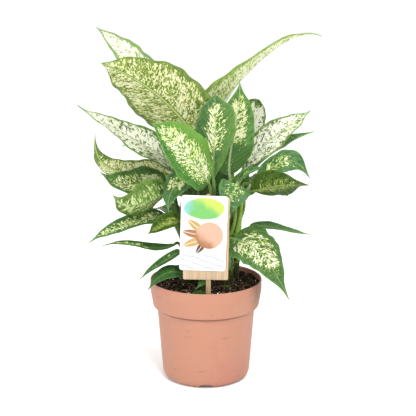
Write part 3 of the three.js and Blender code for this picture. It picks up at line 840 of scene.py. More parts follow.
class Look(Enum):
    """The kinds of variegation on the plant."""

    WHITE_FADED = LeafFinish(
        green=(0.14, 0.232, 0.066), deep=(0.165, 0.225, 0.105), edge=(0.125, 0.23, 0.056),
        cream=(0.605, 0.613, 0.487), yellow=(0.47, 0.538, 0.252),
        across_vein=3.2, along_vein=6.5, margin=0.9, feather=0.3, spots=0.27, rib=(0.353, 0.42, 0.235),
    )
    WHITE_SPOTTED = LeafFinish(
        green=(0.101, 0.185, 0.038), deep=(0.036, 0.066, 0.019), edge=(0.126, 0.235, 0.046),
        cream=(0.58, 0.588, 0.479), yellow=(0.403, 0.47, 0.235),
        across_vein=3.5, along_vein=6.0, margin=1.02, feather=0.26, spots=0.22, rib=(0.134, 0.21, 0.059),
    )
    CREAM_CENTRE = LeafFinish(
        green=(0.066, 0.142, 0.036), deep=(0.034, 0.082, 0.022), edge=(0.105, 0.205, 0.05),
        cream=(0.58, 0.596, 0.437), yellow=(0.42, 0.479, 0.126),
        across_vein=3.0, along_vein=7.5, margin=0.95, feather=0.46, sparse=0.34,
    )
    CREAM_SUNLIT = LeafFinish(
        green=(0.06, 0.168, 0.03), deep=(0.034, 0.105, 0.02), edge=(0.109, 0.252, 0.039),
        cream=(0.588, 0.605, 0.428), yellow=(0.437, 0.504, 0.126),
        across_vein=3.0, along_vein=7.0, margin=0.9, feather=0.55, glow=0.38, sparse=0.4,
    )
    CREAM_TOP = LeafFinish(
        green=(0.084, 0.186, 0.044), deep=(0.04, 0.098, 0.022), edge=(0.105, 0.231, 0.039),
        cream=(0.563, 0.58, 0.361), yellow=(0.437, 0.487, 0.118),
        across_vein=2.8, along_vein=5.5, margin=0.88, feather=0.45, base_shade=0.9, sparse=0.36,
        rib=(0.353, 0.42, 0.235), rib_share=0.75,
    )
    DEEP_HERRINGBONE = LeafFinish(
        green=(0.055, 0.126, 0.033), deep=(0.026, 0.07, 0.02), edge=(0.097, 0.205, 0.044),
        cream=(0.554, 0.571, 0.378), yellow=(0.386, 0.454, 0.101),
        across_vein=2.8, along_vein=8.0, margin=0.86, feather=0.66, glow=0.2, sparse=0.42,
    )
    OLIVE_STREAKED = LeafFinish(
        green=(0.143, 0.21, 0.042), deep=(0.084, 0.134, 0.024), edge=(0.101, 0.168, 0.03),
        cream=(0.605, 0.605, 0.386), yellow=(0.42, 0.454, 0.134),
        across_vein=2.6, along_vein=7.5, margin=1.05, feather=0.3, back_paling=0.0,
        rib=(0.378, 0.487, 0.143), rib_share=0.95, rib_border=0.8,
    )
    PALE_BACK = LeafFinish(
        green=(0.277, 0.382, 0.097), deep=(0.168, 0.26, 0.05), edge=(0.134, 0.235, 0.049),
        cream=(0.689, 0.706, 0.496), yellow=(0.504, 0.571, 0.202),
        across_vein=3.6, along_vein=12.0, margin=1.00, feather=0.35, back_paling=0.0,
    )
    GREY_FLECKED = LeafFinish(
        green=(0.059, 0.143, 0.04), deep=(0.029, 0.082, 0.023), edge=(0.084, 0.189, 0.05),
        cream=(0.588, 0.613, 0.336), yellow=(0.395, 0.47, 0.118),
        across_vein=3.2, along_vein=6.0, margin=0.86, feather=0.45, roughness=0.3, sparse=0.28,
    )
    OLIVE_VEINED = LeafFinish(
        green=(0.113, 0.198, 0.038), deep=(0.038, 0.086, 0.014), edge=(0.112, 0.198, 0.036),
        cream=(0.43, 0.5, 0.235), yellow=(0.29, 0.378, 0.116),
        across_vein=2.4, along_vein=14.0, margin=0.96, feather=0.4, vein_pitch=4.6, back_paling=0.0,
    )
    OLIVE_SHADED = LeafFinish(
        green=(0.052, 0.104, 0.01), deep=(0.018, 0.043, 0.004), edge=(0.062, 0.116, 0.015),
        cream=(0.336, 0.395, 0.101), yellow=(0.21, 0.277, 0.042),
        across_vein=1.6, along_vein=9.0, margin=0.8, feather=0.55, vein_pitch=4.6, back_paling=0.0,
    )
    SHADE_GREEN = LeafFinish(
        green=(0.038, 0.105, 0.024), deep=(0.018, 0.062, 0.014), edge=(0.05, 0.13, 0.03),
        cream=(0.437, 0.479, 0.218), yellow=(0.244, 0.319, 0.076),
        across_vein=3.0, along_vein=9.0, margin=0.8, feather=0.55, roughness=0.32, rib_share=0.25,
    )


# Sub-assemblies


@dataclass
class Pot:
    """The nursery pot.

    foot rounds its bottom edge. flare holds points from the body's top, and lip from the collar's bottom. A
    corner is cut by softness, but by no more than corner_share of its shorter side. drain_z, notch_z and
    notch_reach are the two ends of a cut, and notch_widths its widths at the top and the bottom.
    """

    rim_radius: float = 60.0
    rim_band: float = 11.0
    height: float = 109.0
    wall: float = 1.4
    collar_radius: float = 57.4
    collar_z: float = 82.0
    body_top_radius: float = 52.4
    body_top_z: float = 77.0
    body_low_radius: float = 47.3
    body_low_z: float = 9.0
    foot: tuple[Pair, ...] = ((42.6, 0.8), (45.4, 3.0), (46.9, 6.0))
    flare: tuple[Pair, ...] = ((0.0, -2.0), (0.4, 0.0))
    lip: tuple[Pair, ...] = ((-1.8, -2.8), (-0.4, -1.4), (0.0, 0.0))
    base_radius: float = 38.5
    base_plate: float = 2.4
    centre_radius: float = 6.0
    softness: float = 0.9
    corner_share: float = 0.45
    corner_points: int = 4
    crease_angle: float = 38.0
    drain_count: int = 6
    drain_start: float = 30.0
    drain_radius: float = 3.2
    drain_ring: float = 25.0
    drain_z: Pair = (-1.0, 4.0)
    drain_segments: int = 24
    notch_widths: Pair = (9.0, 22.0)
    notch_z: Pair = (4.2, -1.0)
    notch_reach: Pair = (31.0, 61.0)
    segments: int = 192
    finish: PotFinish = PotFinish()

    def profile(self) -> Array:
        """The wall's outline, from the axis under the pot to the axis inside it.

        Each corner of a polygon is rounded: a parabola joins the points a short way before and behind it.

        Returns:
            The outline's radii and heights.
        """
        rim, band = self.rim_radius, self.height - self.rim_band
        flare = [(self.body_top_radius + out, self.body_top_z + up) for out, up in self.flare]
        lip = [(self.collar_radius + out, self.collar_z + up) for out, up in self.lip]
        corners = np.array(
            [
                (self.centre_radius, 0.0), (self.base_radius, 0.0), *self.foot,
                (self.body_low_radius, self.body_low_z), *flare, *lip,
                (rim, band), (rim, self.height), (rim - self.wall, self.height), (rim - self.wall, band),
                (self.collar_radius - self.wall, self.collar_z + 1.0),
                (self.body_top_radius - self.wall, self.body_top_z),
                (self.body_low_radius - self.wall, self.body_low_z),
                (self.base_radius, self.base_plate), (self.centre_radius, self.base_plate),
            ]
        )
        middle = corners[1:-1]
        arms = np.stack([corners[:-2] - middle, corners[2:] - middle])
        cut = np.minimum(np.linalg.norm(arms, axis=2).min(axis=0) * self.corner_share, self.softness)
        first, last = (middle + unit(arms) * cut[:, None])[:, :, None]
        t = np.linspace(0, 1, self.corner_points)[:, None]
        arcs = (1 - t) ** 2 * first + 2 * t * (1 - t) * middle[:, None] + t**2 * last
        return np.concatenate([corners[:1], arcs.reshape(-1, 2), corners[-1:]])

    def build(self) -> list[Object]:
        """Turns the profile about the axis and cuts the drain holes and the notches.

        Returns:
            The pot's one piece.
        """
        rings = spun(self.profile(), self.segments)
        shell = loft(rings).to_piece("pot_shell", self.finish.make(), "pot", "pot")
        cut_away(shell, self._cutters())
        return [crisp(shell, self.crease_angle)]

    def _cutters(self) -> Skin:
        """The drain pegs and the notch wedges: a circle or four corners, carried straight to its end.

        Returns:
            All of them in one skin.
        """
        skins = []
        top, low = (width / 2 for width in self.notch_widths)
        high, down = self.notch_z
        wedge = np.array([(-low, down), (low, down), (top, high), (-top, high)])
        for k in range(self.drain_count):
            angle = math.radians(360.0 * k / self.drain_count + self.drain_start)
            out = np.array([math.cos(angle), math.sin(angle), 0.0])
            side = np.array([-out[1], out[0], 0.0])
            peg = circle(self.drain_segments) * self.drain_radius + out * self.drain_ring
            ring = wedge[:, :1] * side + wedge[:, 1:] * UP
            skins.append(loft(np.stack([peg + UP * z for z in self.drain_z])))
            skins.append(loft(np.stack([ring + out * reach for reach in self.notch_reach])))
        return gathered(skins)


def spots(rng: Rng, count: int, centre: Pair, radius: float) -> tuple[Array, Array]:
    """Even random places in a circle: the angle is even, and the radius the root of an even number."""
    angle, reach = rng.uniform(0, 2 * math.pi, count), radius * np.sqrt(rng.random(count))
    return centre[0] + reach * np.cos(angle), centre[1] + reach * np.sin(angle)


@dataclass(frozen=True)
class Grains:
    """Loose grains, half sunk in the bed.

    stretch is along a grain's own axes, and variation is what it is multiplied by. lift is the share of
    its size by which a grain's middle lies over the bed. A greater rarity makes more of the grains small.
    """

    count: int
    sizes: Pair
    stretch: Point

    lift: ClassVar[Pair] = (-0.2, 0.5)
    variation: ClassVar[Pair] = (0.75, 1.25)
    rarity: ClassVar[float] = 2.2

    def skin(self, soil: "Soil", rng: Rng) -> Skin:
        """Balls of 20 faces, stretched and turned at random.

        Args:
            soil: The bed that they lie on.
            rng: The random numbers.

        Returns:
            The grains.
        """
        x, y = spots(rng, self.count, (0.0, 0.0), soil.top_radius)
        least, most = self.sizes
        size = least + (most - least) * rng.random(self.count) ** self.rarity
        z = soil.height(x, y) + size * rng.uniform(*self.lift, self.count)
        varied = rng.uniform(*self.variation, (self.count, 3))
        stretch = size[:, None] * np.array(self.stretch) * varied
        turns = np.linalg.qr(rng.normal(size=(self.count, 3, 3)))[0]
        return scattered(*icosahedron(), np.stack([x, y, z], axis=1), stretch[:, :, None] * turns)


@dataclass(frozen=True)
class Threads:
    """Thin curved threads.

    rise lifts their ends, by a share that stand gives, and run is the share of the length along the bed.
    bend is the most that a thread turns aside, in radians, arch the height of one that lies, and clearance
    how far all are above the bed. upright leans a little, so that a standing thread has a side too.
    """

    count: int
    lengths: Pair
    radius: float
    centre: Pair = (0.0, 0.0)
    rise: float = 0.0
    run: float = 1.0
    stoutness: float = 1.0

    bend: ClassVar[float] = 0.9
    arch: ClassVar[Pair] = (0.3, 1.8)
    stand: ClassVar[Pair] = (0.5, 1.0)
    clearance: ClassVar[float] = 0.25
    radii: ClassVar[Pair] = (0.13, 0.28)
    upright: ClassVar[Point] = (0.12, 0.05, 1.0)

    def skin(self, soil: "Soil", rng: Rng) -> Skin:
        """From its foot a thread runs ahead and turns aside evenly, and a ring of four points follows it.

        Its height is a parabola over its length where it lies, and a straight line where it stands.

        Args:
            soil: The bed that they lie or stand on.
            rng: The random numbers.

        Returns:
            The threads, each with numbers of its own in the field "grain".
        """

        def draw(low: float, high: float) -> Array:
            """A random number for each thread."""
            return rng.uniform(low, high, self.count)[:, None]

        x, y = (part[:, None] for part in spots(rng, self.count, self.centre, self.radius))
        heading = draw(0, 2 * math.pi)
        t = np.linspace(0, 1, 7)
        ahead = draw(*self.lengths) * self.run * t
        heading = heading + draw(-self.bend, self.bend) * t
        x, y = x + ahead * np.cos(heading), y + ahead * np.sin(heading)
        outside = np.hypot(x, y) > soil.top_radius
        x = np.where(outside, x * soil.top_radius / np.hypot(x, y), x)
        y = np.where(outside, y * soil.top_radius / np.hypot(x, y), y)
        lift = 4 * t * (1 - t) * draw(*self.arch)
        if self.rise:
            lift = self.rise * t * draw(*self.stand)
        path = np.stack([x, y, soil.height(x, y) + self.clearance + lift], axis=2)
        forward = unit(np.gradient(path, axis=1))
        beside = unit(np.cross(forward, np.array(self.upright)))
        above = np.cross(beside, forward)
        thickness = draw(*self.radii) * self.stoutness * (1 - 0.75 * t**2)
        cos, sin = circle(4)[:, :2].T[:, None, None, :, None]
        around = above[:, :, None] * cos - beside[:, :, None] * sin
        skins = [loft(rings) for rings in path[:, :, None] + around * thickness[..., None, None]]
        skin = gathered(skins)
        own = np.random.default_rng(THREAD_SEED).random((self.count, 1, 3))
        skin.fields["grain"] = np.repeat(own, len(skins[0].points), axis=1).reshape(-1, 3)
        return skin


@dataclass
class Soil:
    """The filled pot's mix: an uneven bed and what lies on it.

    relief holds the pitch and the height of its waves. slack is how far out and up the rings of its wall
    lie from the pot's inner corners, and the last from its own top. The top's rings start edge outside
    top_radius and shrink by the share shrink.
    """

    pot: Pot
    relief: tuple[Pair, ...] = ((9.0, 1.6), (3.6, 0.8), (1.7, 0.45))
    gap: float = 0.3
    slack: tuple[Pair, ...] = ((-1.0, 0.3), (-0.4, 0.6), (-0.3, 0.0), (-0.3, 1.5), (0.9, -4.0))
    top_radius: float = 57.0
    edge: float = 1.2
    shrink: float = 0.985
    top_rings: int = 64
    segments: int = 200
    finish: SoilFinish = SoilFinish()
    litter: ClassVar[tuple[tuple[str, Grains | Threads, LooseFinish], ...]] = (
        ("soil_crumbs", Grains(2600, (0.5, 1.7), (1.0, 0.85, 0.7)),
         LooseFinish("soil_crumb", SoilFinish.wet, SoilFinish.dry, 0.9)),
        ("soil_bark_chips", Grains(420, (0.8, 1.9), (1.9, 0.8, 0.35)),
         LooseFinish("soil_bark", SoilFinish.brown, (0.252, 0.155, 0.088), 0.85)),
        ("soil_white_grains", Grains(300, (0.4, 1.3), (1.0, 0.9, 0.8)),
         LooseFinish("soil_perlite", (0.46, 0.45, 0.42), (0.8, 0.79, 0.77))),
        ("soil_fibres", Threads(420, (3.0, 11.0), 54.0),
         LooseFinish("soil_fibre", SoilFinish.dry, (0.353, 0.244, 0.134))),
        ("moss_tuft",
         Threads(420, (2.0, 4.5), 6.5, centre=(-7.0, -42.0), rise=4.5, run=0.5, stoutness=1.25),
         LooseFinish("soil_moss", (0.012, 0.055, 0.008), (0.071, 0.19, 0.029), 0.75)),
    )

    def height(self, x: Array, y: Array) -> Array:
        """The bed's surface: a coarse noise of clods and two finer ones.

        Args:
            x: Where it is read.
            y: Where it is read.

        Returns:
            The height.
        """
        waves = enumerate(self.relief, start=1)
        noises = (lattice_noise(x + 200, y + 200, pitch, seed) * size for seed, (pitch, size) in waves)
        return SOIL_Z + sum(noises)

    def build(self) -> list[Object]:
        """Builds the bed and all that lies on it.

        Returns:
            The pieces.
        """
        rng = np.random.default_rng(SOIL_SEED)
        bed = self._bed().to_piece("soil_bed", self.finish.make(), "soil", "soil")
        loose = [(name, kind.skin(self, rng), finish.make()) for name, kind, finish in self.litter]
        return [bed, *(skin.to_piece(name, material, "soil") for name, skin, material in loose)]

    def _bed(self) -> Skin:
        """Five rings along the pot's wall, then the surface on rings that shrink towards the axis.

        Returns:
            The closed bed.
        """
        pot, inner = self.pot, self.pot.wall + self.gap
        places = [
            (pot.base_radius, pot.base_plate), (pot.body_low_radius - inner, pot.body_low_z),
            (pot.body_top_radius - inner, pot.body_top_z), (pot.collar_radius - inner, pot.collar_z),
            (self.top_radius, SOIL_Z),
        ]
        wall = np.array(places) + self.slack
        inwards = np.linspace(0, self.shrink, self.top_rings)
        radius = (self.top_radius + self.edge) * (1 - inwards) ** 0.95
        top = radius[:, None, None] * circle(self.segments)
        top[..., 2] = self.height(top[..., 0], top[..., 1])
        return loft(np.concatenate([spun(wall, self.segments), top]))


@dataclass
class Cane:
    """One upright cane with leaf scars a pitch apart. It closes bluntly over its last stretch, tip."""

    name: str
    foot: Pair
    top: Point
    radius: float
    top_radius: float
    foot_z: float = 62.3
    pitch: float = CaneFinish.pitch
    scar: float = 0.7
    scar_width: float = 0.9
    lobe: float = 0.03
    tip: float = 4.0
    segments: int = 40
    rows: int = 150

    def axis(self, z: Array) -> tuple[Array, Array]:
        """The axis and the plain radius, which both change evenly from the soil to the top.

        Args:
            z: The heights.

        Returns:
            The axis's points and the radii.
        """
        share = (z - SOIL_Z) / (self.top[2] - SOIL_Z)
        start = np.array([*self.foot, SOIL_Z])
        points = start + share[:, None] * (np.array(self.top) - start)
        return points, self.radius + (self.top_radius - self.radius) * np.maximum(share, 0)

    def build(self, material: Material) -> Object:
        """Carries a ring of three faint lobes up the axis.

        The radius swells at each scar as a bell curve, and closes in a quarter of an ellipse at the tip.

        Args:
            material: The cane's finish.

        Returns:
            The cane.
        """
        top = self.top[2]
        shoulder = top - self.tip
        closing = shoulder + self.tip * np.sin(np.linspace(0.15, 1.5, 9))
        z = np.concatenate([np.linspace(self.foot_z, shoulder, self.rows), closing])
        points, radius = self.axis(z)
        away = np.abs((z - SOIL_Z + self.pitch / 2) % self.pitch - self.pitch / 2)
        scar = np.exp(-((away / self.scar_width) ** 2)) * self.scar * (z > SOIL_Z + 4) * (z < top - 6)
        round_off = np.sqrt(np.clip(1 - ((z - shoulder) / (self.tip + 0.05)) ** 2, 0, 1))
        radius = (radius + scar) * np.where(z > shoulder, round_off, 1)
        turn = np.arange(self.segments) * 2 * math.pi / self.segments
        lobes = 1 + self.lobe * np.sin(3 * turn + 0.03 * z[:, None]) * (z[:, None] > SOIL_Z)
        rings = points[:, None] + circle(self.segments) * (radius[:, None] * lobes)[:, :, None]
        return loft(rings).to_piece(f"cane_{self.name}_bark", material, "cane", f"cane_{self.name}")


@dataclass
class Grid:
    """What a leaf's formulas read, as arrays that spread over its rows and columns.

    t runs along the stalk from 0 to 1. s is -1 to 0 there and runs along the blade from 0 to 1. v runs
    across from -1 to 1. sign is 1 above and -1 below. half is the blade's half width.
    """

    t: Array
    s: Array
    v: Array
    sign: Array
    half: Array


@dataclass(frozen=True)
class Wave:
    """A wave along a blade: its turns, its start for each step of a seed, and its lag where v < 0."""

    turns: float
    step: float
    lag: float

    def at(self, seed: float, grid: Grid) -> Array:
        """The sine of the wave's angle, in which the lag is in radians."""
        turned = self.turns * np.clip(grid.s, 0, 1) + self.step * seed
        return np.sin(2 * math.pi * turned + np.where(grid.v < 0, self.lag, 0.0))


@dataclass
class Leaf:
    """One leaf, its stalk and its blade.

    The stalk leaves the cane at the height node. The midrib passes through the four points rib from the
    blade's base to its tip. number also seeds the waves and the finish. face is the way the upper face
    looks at mid-blade, half the greatest half width and wave how strongly the edges wave. fold and curl
    bend each half, in degrees. spread is how much cream the blade has and the shares of its length between
    which the cream lies. rise and fall shape the blade's two ends, twist turns it from its base to its tip,
    in degrees, and lean is how far a side vein runs on towards the tip for each millimetre that it goes
    outwards.

    The stalk starts in the direction steep, level and up, and handles are the shares of its reach at which
    its curve's inner points lie. joint is the share of the blade over which the stalk's section turns into
    the blade's. sheath_ends are the shares of the stalk between which its sheath dies out, and sheath what
    it adds to the half width and the half depth. thread is the tip's least half width, and what it grows by
    over thread_share of the blade. outline and nick move the edge in and out, and swing and frill up and
    down. row_bunching brings the rows closer at the blade's ends, and column_bunching the columns at its
    midrib.
    """

    number: int
    cane: str
    node: float
    rib: tuple[Point, Point, Point, Point]
    face: Point
    half: float
    fold: float
    curl: float
    wave: float
    look: Look
    spread: Point
    rise: float = 0.62
    fall: float = 1.05
    twist: float = 0.0
    lean: float = 0.32

    blade_thickness: ClassVar[float] = 0.8
    rib_depth: ClassVar[float] = 1.1
    stalk_radii: ClassVar[Pair] = (2.1, 1.6)
    middle: ClassVar[float] = 0.48
    steep: ClassVar[Pair] = (0.6, 0.8)
    handles: ClassVar[Pair] = (0.4, 0.2)
    joint: ClassVar[float] = 0.055
    sheath_ends: ClassVar[Pair] = (0.12, 0.62)
    sheath: ClassVar[Pair] = (2.2, 0.8)
    thread: ClassVar[Pair] = (0.15, 0.55)
    thread_share: ClassVar[float] = 0.05
    outline: ClassVar[Wave] = Wave(3.1, 0.41, 4.83)
    nick: ClassVar[Wave] = Wave(7.7, 0.19, 2.1)
    swing: ClassVar[Wave] = Wave(2.2, 0.37, 2.1)
    frill: ClassVar[Wave] = Wave(6.3, 0.53, 3.57)
    columns: ClassVar[int] = 33
    column_bunching: ClassVar[float] = 1.1
    row_bunching: ClassVar[float] = 0.3
    stalk_rows: ClassVar[int] = 18
    blade_rows: ClassVar[int] = 72

    def _controls(self, cane: Cane) -> tuple[Array, Array]:
        """The midrib's cubic meets its four points at even parameters, and the stalk runs into it.

        Args:
            cane: The cane that carries the leaf.

        Returns:
            The control points of the stalk, which rises steeply from the cane's axis, and of the midrib.
        """
        through = np.array([[6, 0, 0, 0], [-5, 18, -9, 2], [2, -9, 18, -5], [0, 0, 0, 6]]) / 6
        blade = through @ np.array(self.rib, float)
        start, base = cane.axis(np.array([self.node]))[0][0], blade[0]
        reach = np.linalg.norm(base - start)
        level, up = self.steep
        rising = np.array([*(unit(base[:2] - start[:2]) * level), up])
        ahead = unit(blade[1] - base)
        first, last = self.handles
        return np.stack([start, start + rising * reach * first, base - ahead * reach * last, base]), blade

    def _path(self, cane: Cane) -> tuple[Array, ...]:
        """The rows of the leaf.

        The upper side is given at mid-blade, and each row takes its neighbour's, less what lies along
        its own tangent. Each row is then turned about its tangent by twist (s - middle).

        Args:
            cane: The cane that carries the leaf.

        Returns:
            The points, tangents and upper sides, and the parameters t and s.
        """
        stalk, blade = self._controls(cane)
        t = np.linspace(0, 1, self.stalk_rows, endpoint=False)
        even = np.linspace(0, 1, self.blade_rows)
        along = even - self.row_bunching * np.sin(2 * math.pi * even) / (2 * math.pi)
        points, tangents = (np.concatenate(pair) for pair in zip(bezier(stalk, t), bezier(blade, along)))
        s = np.concatenate([t - 1, along])
        normals = np.zeros_like(points)
        start = int(np.argmin(np.abs(s - self.middle)))
        normals[start] = self.face
        for row in (start, *range(start + 1, len(points)), *range(start - 1, -1, -1)):
            source = normals[row - np.sign(row - start)]
            normals[row] = unit(source - tangents[row] * (source @ tangents[row]))
        turn = np.radians(self.twist * (np.maximum(s, 0) - self.middle))[:, None]
        normals = normals * np.cos(turn) + np.cross(tangents, normals) * np.sin(turn)
        return points, tangents, normals, np.concatenate([t, np.ones_like(along)]), s

    def build(self, cane: Cane, material: Material) -> Object:
        """Carries the section along the path. The stalk's section turns into the blade's at its base.

        Args:
            cane: The cane that carries the leaf.
            material: The leaf's finish.

        Returns:
            The leaf.
        """
        points, tangents, normals, t, s = self._path(cane)
        sides = np.cross(tangents, normals)
        v = np.linspace(-1, 1, self.columns)
        v = np.sign(v) * np.abs(v) ** self.column_bunching
        above = np.ones(self.columns)
        v, sign = np.concatenate([v, v[::-1]]), np.concatenate([above, -above])
        along = np.clip(s, 0, 1)[:, None]
        grid = Grid(t[:, None], s[:, None], v, sign, self._half_width(along))
        turned = smooth_share(along, 0.0, self.joint)
        pairs = zip(self._stalk(grid), self._blade(grid))
        across, out = ((stalk * (1 - turned) + blade * turned)[..., None] for stalk, blade in pairs)
        rings = points[:, None] + sides[:, None] * across + normals[:, None] * out
        name = f"leaf_{self.number:02d}"
        return loft(rings, self._fields(points, grid)).to_piece(f"{name}_blade", material, "leaf", name)

    def _half_width(self, s: Array) -> Array:
        """The blade's outline, s^rise (1 - s)^fall over its peak, drawn out into a thread at the tip.

        Args:
            s: The share of the blade's length.

        Returns:
            The half width.
        """
        widest = self.rise / (self.rise + self.fall)
        peak = widest**self.rise * (1 - widest) ** self.fall
        share = s**self.rise * (1 - s) ** self.fall / peak
        share = share * (1 - 0.5 * min(1.0, self.fall) * smooth_share(s, 0.8, 0.96))
        least, growth = self.thread
        thread = least + growth * np.clip((1 - s) / self.thread_share, 0, 1)
        return np.maximum(self.half * share, thread)

    def _blade(self, grid: Grid) -> tuple[Array, Array]:
        """The blade's section, with waves that grow towards its edge and a midrib raised below.

        At share |v| of the half width w the section has turned by the angle a = fold + curl |v|, so it lies
        w (sin a - sin fold) / curl across and w (cos fold - cos a) / curl out. The waves in and out grow
        with |v|³, and those up and down with |v|² and |v|⁵. The midrib is a bell curve of the distance w |v|
        and dies out towards the tip.

        Args:
            grid: The leaf's grid.

        Returns:
            The places across and out.
        """
        share, s = np.abs(grid.v), np.clip(grid.s, 0, 1)
        fold, curl = math.radians(self.fold), math.radians(self.curl)
        bend = curl if abs(curl) > 1e-4 else 1e-4
        uneven = self.outline.at(self.number, grid) + 0.6 * self.nick.at(self.number, grid)
        half = grid.half * (1 + 0.026 * self.wave * uneven * share**3)
        across = half * (np.sin(fold + bend * share) - math.sin(fold)) / bend
        out = half * (math.cos(fold) - np.cos(fold + bend * share)) / bend
        swing, frill = self.swing.at(self.rib[0][2], grid), self.frill.at(self.number, grid)
        ripple = self.wave * np.minimum(1, half / 8) * (share**2 * swing + 0.22 * share**5 * frill)
        ridge = np.exp(-((share * half / 1.5) ** 2)) * (1 - s)
        depth = self.blade_thickness / 2 * (0.35 + 0.65 * (1 - share**8))
        depth = depth + np.where(grid.sign < 0, self.rib_depth * ridge, -0.35 * ridge)
        lift = ripple + grid.sign * depth
        angle = fold + curl * share
        return np.sign(grid.v) * (across - np.sin(angle) * lift), out + np.cos(angle) * lift

    def _stalk(self, grid: Grid) -> tuple[Array, Array]:
        """The stalk's section: a wide channelled sheath at the cane that narrows to a round stalk.

        For an angle a of 0 to 180 degrees on each side the section lies -wide cos a across and deep sin a
        out, and the channel takes a share of the upper side away that changes with sin⁴ a.

        Args:
            grid: The leaf's grid.

        Returns:
            The places across and out.
        """
        near, far = self.stalk_radii
        radius = near + (far - near) * grid.t
        sheath = 1 - smooth_share(grid.t, *self.sheath_ends)
        angle = math.pi * (1 + grid.v) / 2
        channel = np.where(grid.sign > 0, 1 - (0.28 + 0.5 * sheath) * np.sin(angle) ** 4, 1)
        wide, deep = (radius + more * sheath for more in self.sheath)
        return -wide * np.cos(angle), grid.sign * deep * np.sin(angle) * channel

    def _fields(self, points: Array, grid: Grid) -> dict[str, Array]:
        """What the finish reads at each point.

        A side vein leaves the midrib at the length q and bends forwards, so the point at the length x and
        the distance a is on the vein q = x - lean (a + 0.015 a²), and about 1.2 a out along it.

        Args:
            points: The path's points.
            grid: The leaf's grid.

        Returns:
            A vector for each point, by name.
        """
        steps = np.linalg.norm(np.diff(points, axis=0), axis=1)
        length = np.concatenate([[0], np.cumsum(steps)])[:, None]
        length = length - length[np.argmin(np.abs(grid.s))]
        away = np.abs(grid.v) * grid.half
        q = length - self.lean * (away + 0.015 * away**2)
        vectors = {
            "vein": (q, 1.2 * away, self.number * 3.7),
            "blade": (grid.s, grid.v, grid.half),
            "spread": self.spread,
            "side": (grid.sign > 0,) * 3,
        }
        return {key: np.stack([q * 0 + part for part in parts], axis=2) for key, parts in vectors.items()}


@dataclass(frozen=True)
class Panel:
    """A flat upright panel with rounded corners and softened edges, turned in its plane by some degrees."""

    name: str
    x: float
    z: float
    width: float
    height: float
    thickness: float
    corner: float
    turn: float

    def outline(self) -> Array:
        """The edge seen from the front: four quarter circles joined by straight lines, turned.

        Returns:
            The x and z of its points.
        """
        c = self.corner
        w, h = self.width / 2 - c, self.height / 2 - c
        turn = np.linspace(0, math.pi / 2, 9)
        centres = enumerate(((w, h), (-w, h), (-w, -h), (w, -h)))
        quarters = ((x, z, turn + k * math.pi / 2) for k, (x, z) in centres)
        x, z = np.concatenate([(x + c * np.cos(t), z + c * np.sin(t)) for x, z, t in quarters], axis=1)
        cos, sin = math.cos(math.radians(self.turn)), math.sin(math.radians(self.turn))
        return np.stack([self.x + x * cos - z * sin, self.z + z * cos + x * sin], axis=1)

    def build(self, front: float, material: Material) -> Object:
        """Sets the panel upright.

        Args:
            front: The y of its front face.
            material: Its finish.

        Returns:
            The panel.
        """
        soft = min(0.25, self.thickness * 0.3)
        skin = slab(self.outline(), front, self.thickness, soft)
        return crisp(skin.to_piece(f"{self.name}_face", material, self.name, self.name))


def slab(outline: Array, front: float, thickness: float, soft: float) -> Skin:
    """An upright slab of an outline whose edges are rounded in quarter circles.

    Each ring is the outline moved inwards along its own normals, and the faces close on one polygon each.

    Args:
        outline: The x and z of its edge, counter-clockwise from the front.
        front: The y of its front face.
        thickness: Its thickness.
        soft: The radius of its edges.

    Returns:
        The closed skin.
    """
    forward = unit(np.roll(outline, -1, axis=0) - np.roll(outline, 1, axis=0))
    inward = np.stack([-forward[:, 1], forward[:, 0]], axis=1)
    quarter = np.linspace(0, math.pi / 2, 4)
    inset = soft * np.concatenate([1 - np.sin(quarter), 1 - np.cos(quarter)])
    depth = np.concatenate([soft * (1 - np.cos(quarter)), thickness - soft * (1 - np.sin(quarter))])
    flat = outline + inward * inset[:, None, None]
    y = np.broadcast_to((front + depth)[:, None], flat.shape[:2])
    skin = loft(np.stack([flat[..., 0], y, flat[..., 1]], axis=2)[:, ::-1])
    count = len(outline)
    turn = np.arange(count)
    skin.points = skin.points[:-2]
    skin.faces = [skin.faces[0], turn[None, ::-1], (turn + count * (len(inset) - 1))[None]]
    return skin


